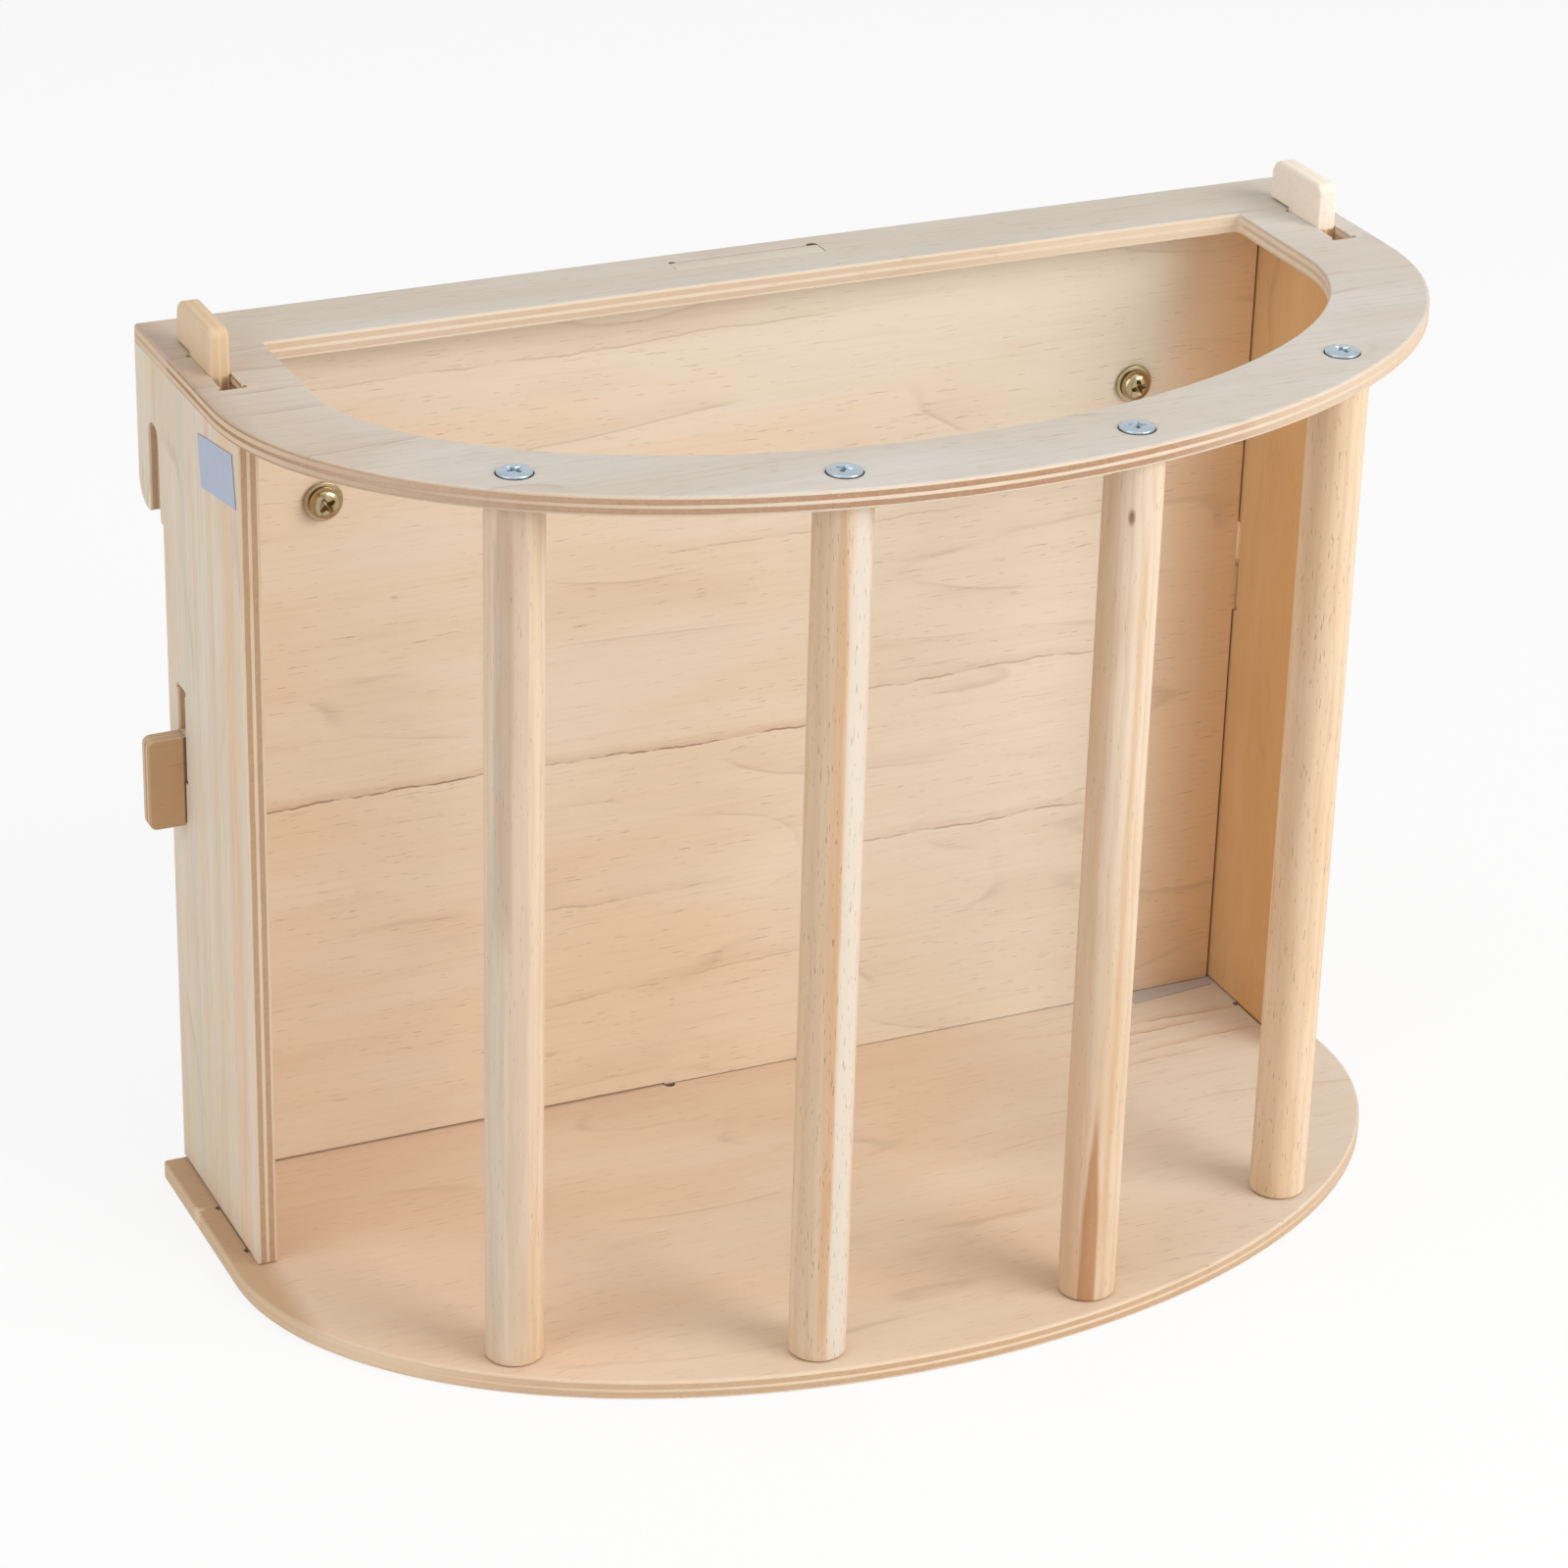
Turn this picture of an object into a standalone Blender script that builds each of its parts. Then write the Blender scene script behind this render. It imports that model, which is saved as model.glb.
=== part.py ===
# Hay rack for small animals: slotted plywood panels, four round bars and two clamping bolts.
# Metres, +Z up, +Y to the cage side. The origin is at the bottom centre of the whole rack.

import math

import bmesh
import bpy

# Clearances and edges
GAP = 0.0003  # between pieces that touch, and round tabs in their slots
ARRIS = 0.00035  # broken edge of every panel and bar
RELIEF = 0.001  # radius of the cutter's relief at slot corners

# Top ring and bottom panel, which share one outline
PLY = 0.005
HALF_WIDTH = 0.1547
SIDE_RUN = 0.0575  # straight side, from the rear edge to the start of the bow
BOW_DEPTH = 0.1001
CLEAR_HEIGHT = 0.2231  # from the bottom panel's top to the ring's underside
RIM_WIDTH = 0.0243
REAR_STRIP = 0.0229
OPENING_CORNER = 0.001
BOW_STEPS = 64

# Bars
BAR_DIAMETER = 0.014
BAR_INSET = 0.0103  # from the rim to a bar's axis
BAR_PITCH = 0.0735  # along the bow
BAR_COUNT = 4

# Side panels
SIDE_OVERHANG = 0.0058  # ring's side edge beyond the panel's outer face
SIDE_FRONT = 0.0583  # panel's front edge, from the ring's rear edge
SIDE_LIP = 0.0007  # panel's rear edge behind the ring's rear edge
PANEL_CORNER = 0.0008
TOP_TAB_REAR = 0.015
TOP_TAB_LENGTH = 0.0245
TOP_TAB_RISE = 0.011
TOP_TAB_RADIUS = 0.004  # at its rear
TOP_TAB_NOSE = 0.0025  # radius at its front
TOP_TOOTH = 0.0094  # the tab's part that grips the top of the ring
TOOTH_PLAY = 0.0006  # under that part
FLOOR_TAB_FRONT = 0.051
FLOOR_TAB_LENGTH = 0.024

# Hooks at the top of the side panels, behind the ring
EAR_DROP = 0.002
EAR_START = 0.002  # where the ear's top steps down, in front of the ring's rear edge
HOOK_HEIGHT = 0.0461
HOOK_SLOT_START = 0.0027  # its front side, from the ring's rear edge
HOOK_SLOT_WIDTH = 0.0078
HOOK_SLOT_DEPTH = 0.0242
HOOK_SLOT_RADIUS = 0.0035
HOOK_PRONG = 0.0087
HOOK_TOE_RADIUS = 0.007
HOOK_HEEL_RADIUS = 0.003

# Back panel
BACK_INSET = 0.0065  # its rear face, from the ring's rear edge
CENTRE_TAB_LENGTH = 0.040
SIDE_TAB_BASE = 0.104
SIDE_TAB_HEIGHT = 0.025
SIDE_TOOTH = 0.0125  # the tab's part that grips the side panel's outer face
SIDE_TAB_REACH = 0.0095  # beyond the side panel's outer face
SIDE_TAB_RADIUS = 0.004

# Wood screws into the bars' ends
SCREW_LENGTH = 0.030
SCREW_SHANK = 0.0038
SCREW_HEAD = 0.0084
SCREW_CROWN = 0.0006
SCREW_RIM = 0.0003
SCREW_POINT = 0.005
FLOOR_SCREW_SINK = 0.0009
PILOT_SPARE = 0.0015  # pilot hole below the screw's point

# Clamping bolts, with their washers and wing nuts
LEFT_BOLT_INSET = 0.0314  # from the side panel's inner face
RIGHT_BOLT_INSET = 0.0351
BOLT_DROP = 0.0421  # below the ring's underside
BOLT_DIAMETER = 0.0038
BOLT_LENGTH = 0.030
BOLT_HEAD = 0.008
BOLT_HEAD_HEIGHT = 0.0026
WASHER_DIAMETER = 0.010
WASHER_THICKNESS = 0.0008
CLAMP_DIAMETER = 0.020
CLAMP_THICKNESS = 0.0012
NUT_HUB_BASE = 0.0084
NUT_HUB_TOP = 0.0068
NUT_HUB_HEIGHT = 0.005
WING_SPAN = 0.0205
WING_THICKNESS = 0.0017
WING_LOBE = 0.0024
WING_RISE = 0.0066  # centre of the lobe above the hub's base
BOLT_CHAMFER = 0.0004

# Cross recess of screws and bolts
RECESS_SPAN = 0.0046
RECESS_BLADE = 0.0009
RECESS_DEPTH = 0.0017
RECESS_TAPER = 0.45  # recess's size at its floor, as a share of its mouth

# Blank paper labels
LABEL_LENGTH = 0.0255
LABEL_HEIGHT = 0.013
LABEL_THICKNESS = 0.00015
LABEL_GAP = 0.0001
LABEL_TILT = math.radians(9)
LABEL_FRONT = 0.0556
LABEL_DROP = 0.0172  # its centre below the ring's underside
FLOOR_LABEL_SIDE_GAP = 0.0009
FLOOR_LABEL_NEAR = 0.0063
FLOOR_LABEL_FAR = 0.0036

# Sides of round pieces
BAR_SIDES = 32
SCREW_SIDES = 16
WASHER_SIDES = 24
ARC_STEP = math.radians(15)

# Places worked out from the sizes above, seen from the ring's rear edge
RING_BASE = PLY + CLEAR_HEIGHT
RING_TOP = RING_BASE + PLY
SIDE_OUTER = HALF_WIDTH - SIDE_OVERHANG
SIDE_INNER = SIDE_OUTER - PLY
BACK_REAR = -BACK_INSET
BACK_FRONT = BACK_REAR - PLY
HOOK_SLOT_REAR = HOOK_SLOT_START + HOOK_SLOT_WIDTH
HOOK_REAR = HOOK_SLOT_REAR + HOOK_PRONG
BOLT_SEAT = BACK_FRONT - GAP - WASHER_THICKNESS - GAP
BOLT_HEIGHT = RING_BASE - BOLT_DROP
LEFT_BOLT = LEFT_BOLT_INSET - SIDE_INNER
RIGHT_BOLT = SIDE_INNER - RIGHT_BOLT_INSET
FRONT_EDGE = -(SIDE_RUN + BOW_DEPTH)
REAR_END = max(HOOK_REAR, BOLT_SEAT + BOLT_LENGTH)
CENTRE_SHIFT = -(FRONT_EDGE + REAR_END) / 2


def clear_scene():
    for item in list(bpy.data.objects):
        bpy.data.objects.remove(item)


def make_material(name, colour, roughness, metallic=0.0):
    made = bpy.data.materials.new(name)
    made.use_nodes = True
    shader = made.node_tree.nodes["Principled BSDF"]
    shader.inputs["Base Color"].default_value = (*colour, 1.0)
    shader.inputs["Roughness"].default_value = roughness
    shader.inputs["Metallic"].default_value = metallic
    made.diffuse_color = (*colour, 1.0)
    return made


def add_object(name, mesh, made, place=(0, 0, 0), turn=(0, 0, 0)):
    item = bpy.data.objects.new(name, mesh)
    bpy.context.scene.collection.objects.link(item)
    item.location = place
    item.rotation_euler = turn
    if made:
        item.data.materials.clear()
        item.data.materials.append(made)
    return item


def add_piece(name, mesh, made, place=(0, 0, 0), turn=(0, 0, 0)):
    item = add_object(name, mesh.copy(), made, place, turn)
    item.parent = RACK
    return item


def hide_cutter(item):
    item.hide_render = True
    item.display_type = "WIRE"
    return item


def add_boolean(item, other, operation, solver="EXACT"):
    step = item.modifiers.new(other.name, "BOOLEAN")
    step.operation = operation
    step.solver = solver
    step.object = other


def arc(centre, radius, start, end, steps):
    turns = [start + (end - start) * i / steps for i in range(steps + 1)]
    return [(centre[0] + radius * math.cos(a), centre[1] + radius * math.sin(a)) for a in turns]


def filleted(corners):
    """Closed outline through corners given as x, y and the radius that rounds each."""
    outline = []
    for i, (x, y, radius) in enumerate(corners):
        before = corners[i - 1]
        after = corners[(i + 1) % len(corners)]
        if radius <= 0:
            outline.append((x, y))
            continue
        into = math.atan2(y - before[1], x - before[0])
        out = math.atan2(after[1] - y, after[0] - x)
        bend = (out - into + math.pi) % (2 * math.pi) - math.pi
        reach = radius * math.tan(abs(bend) / 2)
        side = math.copysign(math.pi / 2, bend)
        start_x = x - reach * math.cos(into)
        start_y = y - reach * math.sin(into)
        centre = (start_x + radius * math.cos(into + side), start_y + radius * math.sin(into + side))
        steps = max(2, math.ceil(abs(bend) / ARC_STEP))
        outline += arc(centre, radius, into - side, into - side + bend, steps)
    return outline


def bow_point(turn, inset):
    """Point of the bow at an angle from its right end, moved in from the rim."""
    across = math.cos(turn) / HALF_WIDTH
    ahead = math.sin(turn) / BOW_DEPTH
    size = math.hypot(across, ahead)
    x = HALF_WIDTH * math.cos(turn) - inset * across / size
    y = -SIDE_RUN - BOW_DEPTH * math.sin(turn) + inset * ahead / size
    return x, y


def bowed_outline(inset, rear, corner):
    bow = [bow_point(math.pi * i / BOW_STEPS, inset) for i in range(BOW_STEPS + 1)]
    sides = HALF_WIDTH - inset
    corners = [(sides, -rear, corner)] + [(x, y, 0) for x, y in bow] + [(-sides, -rear, corner)]
    return filleted(corners)


def place_along_bow(distance):
    """Point on the bars' line, at a distance along it from the middle of the bow."""
    steps = 2000
    walked = 0.0
    here = bow_point(math.pi / 2, BAR_INSET)
    for i in range(1, steps + 1):
        there = bow_point(math.pi / 2 - math.pi / 2 * i / steps, BAR_INSET)
        step = math.dist(here, there)
        if walked + step >= abs(distance):
            share = (abs(distance) - walked) / step
            x = here[0] + (there[0] - here[0]) * share
            y = here[1] + (there[1] - here[1]) * share
            return math.copysign(x, distance), y
        walked += step
        here = there
    return math.copysign(here[0], distance), here[1]


def relief_slot(start, end, low, high):
    """Slot along its first axis, with the cutter's relief on both long sides at each end."""
    near = arc((start + RELIEF, low), RELIEF, math.pi, 2 * math.pi, 6)
    far = arc((end - RELIEF, low), RELIEF, math.pi, 2 * math.pi, 6)
    back = arc((end - RELIEF, high), RELIEF, 0, math.pi, 6)
    home = arc((start + RELIEF, high), RELIEF, 0, math.pi, 6)
    return near + far + back + home


def swapped(points):
    return [(y, x) for x, y in points]


def circle(centre, radius, sides):
    return arc(centre, radius, 0, 2 * math.pi * (sides - 1) / sides, sides - 1)


def panel_mesh(name, outline, holes=(), thickness=PLY, edge=ARRIS):
    """Sheet from an outline and its holes, its edges broken, lying in XY about Z = 0."""
    curve = bpy.data.curves.new(name, "CURVE")
    curve.dimensions = "2D"
    curve.fill_mode = "BOTH"
    for ring in [outline, *holes]:
        spline = curve.splines.new("POLY")
        spline.points.add(len(ring) - 1)
        for point, (x, y) in zip(spline.points, ring):
            point.co = (x, y, 0, 1)
        spline.use_cyclic_u = True
    curve.extrude = thickness / 2 - edge
    curve.bevel_depth = edge
    curve.bevel_resolution = 0
    curve.offset = -edge
    helper = bpy.data.objects.new(name, curve)
    bpy.context.scene.collection.objects.link(helper)
    graph = bpy.context.evaluated_depsgraph_get()
    mesh = bpy.data.meshes.new_from_object(helper.evaluated_get(graph))
    bpy.data.objects.remove(helper)
    shape = bmesh.new()
    shape.from_mesh(mesh)
    bmesh.ops.remove_doubles(shape, verts=shape.verts, dist=0.000005)
    bmesh.ops.recalc_face_normals(shape, faces=shape.faces)
    shape.to_mesh(mesh)
    shape.free()
    mesh.name = name
    mesh.shade_flat()
    return mesh


def turned_mesh(name, profile, sides):
    """Closed body turned about Z from a profile of radius and height.

    A profile that ends on the axis is closed there, and any other is closed on itself.
    """
    shape = bmesh.new()
    rings = []
    for radius, height in profile:
        if radius == 0:
            rings.append([shape.verts.new((0, 0, height))])
        else:
            rings.append([shape.verts.new((x, y, height)) for x, y in circle((0, 0), radius, sides)])
    pairs = list(zip(rings, rings[1:]))
    if profile[0][0] > 0:
        pairs.append((rings[-1], rings[0]))
    for first, second in pairs:
        for i in range(sides):
            after = (i + 1) % sides
            corners = [first[i % len(first)], first[after % len(first)]]
            corners += [second[after % len(second)], second[i % len(second)]]
            shape.faces.new(dict.fromkeys(corners))
    bmesh.ops.recalc_face_normals(shape, faces=shape.faces)
    mesh = bpy.data.meshes.new(name)
    shape.to_mesh(mesh)
    shape.free()
    mesh.shade_smooth()
    mesh.set_sharp_from_angle(angle=math.radians(35))
    return mesh


def recess_mesh():
    """Cutter of a cross recess, with its mouth above Z = 0 and its floor below."""
    arm = RECESS_SPAN / 2
    blade = RECESS_BLADE / 2
    quarter = [(arm, -blade), (arm, blade), (blade, blade)]
    cross = []
    for i in range(4):
        cos, sin = math.cos(math.pi / 2 * i), math.sin(math.pi / 2 * i)
        cross += [(x * cos - y * sin, x * sin + y * cos) for x, y in quarter]
    shape = bmesh.new()
    floor = [shape.verts.new((x * RECESS_TAPER, y * RECESS_TAPER, -RECESS_DEPTH)) for x, y in cross]
    mouth = [shape.verts.new((x, y, 0)) for x, y in cross]
    top = [shape.verts.new((x, y, RECESS_DEPTH)) for x, y in cross]
    for low, high in ((floor, mouth), (mouth, top)):
        for i in range(len(cross)):
            after = (i + 1) % len(cross)
            shape.faces.new((low[i], low[after], high[after], high[i]))
    shape.faces.new(floor[::-1])
    shape.faces.new(top)
    bmesh.ops.recalc_face_normals(shape, faces=shape.faces)
    mesh = bpy.data.meshes.new("cross_recess")
    shape.to_mesh(mesh)
    shape.free()
    return mesh


def countersink_mesh(places):
    """One cutter with a countersunk screw hole at each place."""
    rim = SCREW_HEAD / 2 + GAP
    hole = SCREW_SHANK / 2 + GAP
    profile = [(0, PLY), (rim, PLY), (rim, 0), (hole, hole - rim), (hole, -2 * PLY), (0, -2 * PLY)]
    single = turned_mesh("countersink", profile, SCREW_SIDES)
    shape = bmesh.new()
    for x, y in places:
        first = len(shape.verts)
        shape.from_mesh(single)
        shape.verts.ensure_lookup_table()
        bmesh.ops.translate(shape, verts=shape.verts[first:], vec=(x, y, 0))
    mesh = bpy.data.meshes.new("countersinks")
    shape.to_mesh(mesh)
    shape.free()
    return mesh


def make_flat_panels(wood, places):
    """Bottom panel and top ring, with their slots and countersunk holes."""
    slot_low = SIDE_INNER - GAP
    slot_high = SIDE_OUTER + GAP
    centre = CENTRE_TAB_LENGTH / 2 + GAP
    back_slot = relief_slot(-centre, centre, BACK_FRONT - GAP, BACK_REAR + GAP)
    neck_rear = -(TOP_TAB_REAR + TOP_TOOTH)
    ring_ends = (neck_rear - TOP_TAB_LENGTH - GAP, neck_rear + GAP)
    floor_ends = (-FLOOR_TAB_FRONT - GAP, -FLOOR_TAB_FRONT + FLOOR_TAB_LENGTH + GAP)
    outline = bowed_outline(0, 0, PANEL_CORNER)
    opening = bowed_outline(RIM_WIDTH, REAR_STRIP, OPENING_CORNER)

    def side_slots(ends):
        right = swapped(relief_slot(*ends, slot_low, slot_high))
        left = [(-x, y) for x, y in right]
        return [left, right]

    bottom = panel_mesh("bottom_panel", outline, [back_slot, *side_slots(floor_ends)])
    ring = panel_mesh("top_ring", outline, [opening, back_slot, *side_slots(ring_ends)])
    bottom = add_piece("bottom_panel", bottom, wood, (0, 0, PLY / 2))
    ring = add_piece("top_ring", ring, wood, (0, 0, RING_BASE + PLY / 2))
    sinks = countersink_mesh(places)
    above = add_object("ring_countersinks", sinks, None, (0, 0, RING_TOP))
    place = (0, 0, FLOOR_SCREW_SINK)
    below = add_object("floor_countersinks", sinks.copy(), None, place, (0, math.pi, 0))
    for cutter, panel in ((above, ring), (below, bottom)):
        cutter.parent = RACK
        # The exact solver leaves slits at the bottom panel's slots
        add_boolean(panel, hide_cutter(cutter), "DIFFERENCE", "MANIFOLD")


def side_panel_mesh():
    """Side panel in the plane of depth and height, with its hook, tabs and slot."""
    base = PLY + GAP
    top = RING_BASE - GAP
    floor_tab_rear = -FLOOR_TAB_FRONT + FLOOR_TAB_LENGTH
    ear_top = RING_BASE - EAR_DROP
    hook_base = ear_top - HOOK_HEIGHT
    slot_top = hook_base + HOOK_SLOT_DEPTH
    neck_rear = -(TOP_TAB_REAR + TOP_TOOTH)
    tab_front = -(TOP_TAB_REAR + TOP_TAB_LENGTH)
    tab_top = RING_TOP + TOP_TAB_RISE
    outline = filleted([
        (-SIDE_FRONT, base, PANEL_CORNER),
        (-FLOOR_TAB_FRONT, base, 0),
        (-FLOOR_TAB_FRONT, GAP, PANEL_CORNER),
        (floor_tab_rear, GAP, PANEL_CORNER),
        (floor_tab_rear, base, 0),
        (SIDE_LIP, base, PANEL_CORNER),
        (SIDE_LIP, hook_base, 0),
        (HOOK_SLOT_START, hook_base, PANEL_CORNER),
        (HOOK_SLOT_START, slot_top, HOOK_SLOT_RADIUS),
        (HOOK_SLOT_REAR, slot_top, HOOK_SLOT_RADIUS),
        (HOOK_SLOT_REAR, hook_base, PANEL_CORNER),
        (HOOK_REAR, hook_base, HOOK_TOE_RADIUS),
        (HOOK_REAR, ear_top, HOOK_HEEL_RADIUS),
        (-EAR_START, ear_top, 0),
        (-EAR_START, top, PANEL_CORNER),
        (neck_rear, top, 0),
        (neck_rear, RING_TOP + TOOTH_PLAY, 0),
        (-TOP_TAB_REAR, RING_TOP + TOOTH_PLAY, PANEL_CORNER),
        (-TOP_TAB_REAR, tab_top, TOP_TAB_RADIUS),
        (tab_front, tab_top, TOP_TAB_NOSE),
        (tab_front, top, 0),
        (-SIDE_FRONT, top, PANEL_CORNER),
    ])
    neck_base = SIDE_TAB_BASE + SIDE_TOOTH
    ends = (neck_base - GAP, neck_base + SIDE_TAB_HEIGHT + GAP)
    slot = swapped(relief_slot(*ends, BACK_FRONT - GAP, BACK_REAR + GAP))
    return panel_mesh("side_panel", outline, [slot])


def make_side_panels(wood):
    mesh = side_panel_mesh()
    turn = (math.pi / 2, 0, math.pi / 2)
    middle = SIDE_OUTER - PLY / 2
    add_piece("left_side_panel", mesh, wood, (-middle, 0, 0), turn)
    add_piece("right_side_panel", mesh, wood, (middle, 0, 0), turn)


def make_back_panel(wood):
    """Back panel in the plane of width and height, with its tabs and bolt holes."""
    side = SIDE_INNER - GAP
    outside = SIDE_OUTER + GAP
    tab_end = SIDE_OUTER + SIDE_TAB_REACH
    tab_top = SIDE_TAB_BASE + SIDE_TAB_HEIGHT
    neck_base = SIDE_TAB_BASE + SIDE_TOOTH
    base = PLY + GAP
    top = RING_BASE - GAP
    centre = CENTRE_TAB_LENGTH / 2
    right = [
        (centre, GAP, PANEL_CORNER),
        (centre, base, 0),
        (side, base, PANEL_CORNER),
        (side, neck_base, 0),
        (outside, neck_base, 0),
        (outside, SIDE_TAB_BASE, PANEL_CORNER),
        (tab_end, SIDE_TAB_BASE, SIDE_TAB_RADIUS),
        (tab_end, tab_top, SIDE_TAB_RADIUS),
        (side, tab_top, 0),
        (side, top, PANEL_CORNER),
        (centre, top, 0),
        (centre, RING_TOP, PANEL_CORNER),
    ]
    left = [(-x, z, radius) for x, z, radius in reversed(right)]
    hole = BOLT_DIAMETER / 2 + GAP
    holes = [circle((x, BOLT_HEIGHT), hole, SCREW_SIDES) for x in (LEFT_BOLT, RIGHT_BOLT)]
    mesh = panel_mesh("back_panel", filleted(right + left), holes)
    add_piece("back_panel", mesh, wood, (0, BACK_FRONT + PLY / 2, 0), (math.pi / 2, 0, 0))


def make_bars(wood, places):
    radius = BAR_DIAMETER / 2
    pilot = SCREW_SHANK / 2 + GAP
    length = CLEAR_HEIGHT - 2 * GAP
    top_depth = SCREW_LENGTH - PLY - GAP + PILOT_SPARE
    low_depth = top_depth + FLOOR_SCREW_SINK
    profile = [
        (0, low_depth),
        (pilot, low_depth),
        (pilot, 0),
        (radius - ARRIS, 0),
        (radius, ARRIS),
        (radius, length - ARRIS),
        (radius - ARRIS, length),
        (pilot, length),
        (pilot, length - top_depth),
        (0, length - top_depth),
    ]
    mesh = turned_mesh("bar", profile, BAR_SIDES)
    for i, (x, y) in enumerate(places):
        add_piece(f"bar_{i + 1}", mesh, wood, (x, y, PLY + GAP))


def make_screws(steel, places):
    """Wood screws down through the ring and up through the bottom panel, one at each bar's end."""
    head = SCREW_HEAD / 2
    shank = SCREW_SHANK / 2
    profile = [
        (0, SCREW_CROWN),
        (head * 0.7, (SCREW_CROWN + SCREW_RIM) / 2),
        (head, SCREW_RIM),
        (head, 0),
        (shank, shank - head),
        (shank, SCREW_POINT - SCREW_LENGTH),
        (0, -SCREW_LENGTH),
    ]
    mesh = turned_mesh("screw", profile, SCREW_SIDES)
    for i, (x, y) in enumerate(places):
        upper = add_piece(f"ring_screw_{i + 1}", mesh, steel, (x, y, RING_TOP))
        lower = add_piece(f"floor_screw_{i + 1}", mesh, steel, (x, y, FLOOR_SCREW_SINK), (math.pi, 0, 0))
        for screw in (upper, lower):
            cut_recess(screw, SCREW_CROWN, math.radians(20 + 25 * i))


def cut_recess(item, height, turn):
    """Cross recess in a head whose top lies at a height on the item's own axis."""
    cutter = add_object(item.name + "_recess", recess_mesh(), None, (0, 0, height), (0, 0, turn))
    cutter.parent = item
    add_boolean(item, hide_cutter(cutter), "DIFFERENCE")


def washer_mesh(name, diameter, thickness):
    hole = BOLT_DIAMETER / 2 + GAP
    outer = diameter / 2
    edge = thickness / 5
    profile = [
        (hole, 0),
        (outer - edge, 0),
        (outer, edge),
        (outer, thickness - edge),
        (outer - edge, thickness),
        (hole, thickness),
    ]
    return turned_mesh(name, profile, WASHER_SIDES)


def bolt_mesh():
    """Pan head above Z = 0 and shank below."""
    head = BOLT_HEAD / 2
    shank = BOLT_DIAMETER / 2
    profile = [
        (0, BOLT_HEAD_HEIGHT),
        (head * 0.55, BOLT_HEAD_HEIGHT * 0.95),
        (head * 0.85, BOLT_HEAD_HEIGHT * 0.72),
        (head, BOLT_HEAD_HEIGHT * 0.35),
        (head, 0),
        (shank, 0),
        (shank, BOLT_CHAMFER - BOLT_LENGTH),
        (shank - BOLT_CHAMFER, -BOLT_LENGTH),
        (0, -BOLT_LENGTH),
    ]
    return turned_mesh("bolt", profile, SCREW_SIDES)


def make_wing_nut(name, steel, place, turn):
    """Wing nut with its base at its origin and its axis along its own Z."""
    base = NUT_HUB_BASE / 2
    top = NUT_HUB_TOP / 2
    hub = [(0, 0), (base, 0), (top, NUT_HUB_HEIGHT), (0, NUT_HUB_HEIGHT)]
    nut = add_piece(name, turned_mesh("hub", hub, WASHER_SIDES), steel, place, turn)
    lobe_x = WING_SPAN / 2 - WING_LOBE
    root = top * 0.8
    right = arc((lobe_x, WING_RISE), WING_LOBE, math.radians(-70), math.radians(130), 10)
    left = [(-x, y) for x, y in reversed(right)]
    low = NUT_HUB_HEIGHT * 0.2
    high = NUT_HUB_HEIGHT * 0.9
    outline = [(-root, low), (root, low), *right, (root, high), (-root, high), *left]
    wings = add_object(name + "_wings", panel_mesh("wings", outline, (), WING_THICKNESS), None)
    wings.rotation_euler = (math.pi / 2, 0, 0)
    hole = BOLT_DIAMETER / 2 + GAP
    bore = [(0, -NUT_HUB_HEIGHT), (hole, -NUT_HUB_HEIGHT), (hole, 2 * NUT_HUB_HEIGHT), (0, 2 * NUT_HUB_HEIGHT)]
    bore = add_object(name + "_bore", turned_mesh("bore", bore, SCREW_SIDES), None)
    for cutter, operation in ((wings, "UNION"), (bore, "DIFFERENCE")):
        cutter.parent = nut
        add_boolean(nut, hide_cutter(cutter), operation)


def make_clamps(brass, steel):
    """Bolts through the back panel, each with a washer, a clamp washer and a wing nut."""
    forward = (math.pi / 2, 0, 0)
    backward = (-math.pi / 2, 0, 0)
    bolt = bolt_mesh()
    washer = washer_mesh("washer", WASHER_DIAMETER, WASHER_THICKNESS)
    clamp = washer_mesh("clamp_washer", CLAMP_DIAMETER, CLAMP_THICKNESS)
    clamp_y = BACK_REAR + GAP
    nut_y = clamp_y + CLAMP_THICKNESS + GAP
    for side, x, turn in (("left", LEFT_BOLT, 0.6), ("right", RIGHT_BOLT, 0.2)):
        item = add_piece(side + "_bolt", bolt, brass, (x, BOLT_SEAT, BOLT_HEIGHT), forward)
        cut_recess(item, BOLT_HEAD_HEIGHT, turn)
        add_piece(side + "_bolt_washer", washer, brass, (x, BACK_FRONT - GAP, BOLT_HEIGHT), forward)
        add_piece(side + "_clamp_washer", clamp, steel, (x, clamp_y, BOLT_HEIGHT), backward)
        make_wing_nut(side + "_wing_nut", steel, (x, nut_y, BOLT_HEIGHT), backward)


def make_labels(paper):
    """Blank labels on the left panel's outer face and at the back of the bottom panel."""
    half_length = LABEL_LENGTH / 2
    half_height = LABEL_HEIGHT / 2
    outline = [(-half_length, -half_height), (half_length, -half_height)]
    outline += [(half_length, half_height), (-half_length, half_height)]
    mesh = panel_mesh("side_label", outline, (), LABEL_THICKNESS, 0)
    lift = LABEL_GAP + LABEL_THICKNESS / 2
    place = (-SIDE_OUTER - lift, half_length - LABEL_FRONT, RING_BASE - LABEL_DROP)
    add_piece("side_label", mesh, paper, place, (math.pi / 2, LABEL_TILT, math.pi / 2))
    near = BACK_FRONT - GAP
    right = SIDE_INNER - FLOOR_LABEL_SIDE_GAP
    left = right - LABEL_LENGTH
    strip = [(left, near - FLOOR_LABEL_NEAR), (right, near - FLOOR_LABEL_FAR), (right, near), (left, near)]
    mesh = panel_mesh("floor_label", strip, (), LABEL_THICKNESS, 0)
    add_piece("floor_label", mesh, paper, (0, 0, PLY + lift))


clear_scene()
RACK = bpy.data.objects.new("rack", None)
bpy.context.scene.collection.objects.link(RACK)
RACK.location = (0, CENTRE_SHIFT, 0)

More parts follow.
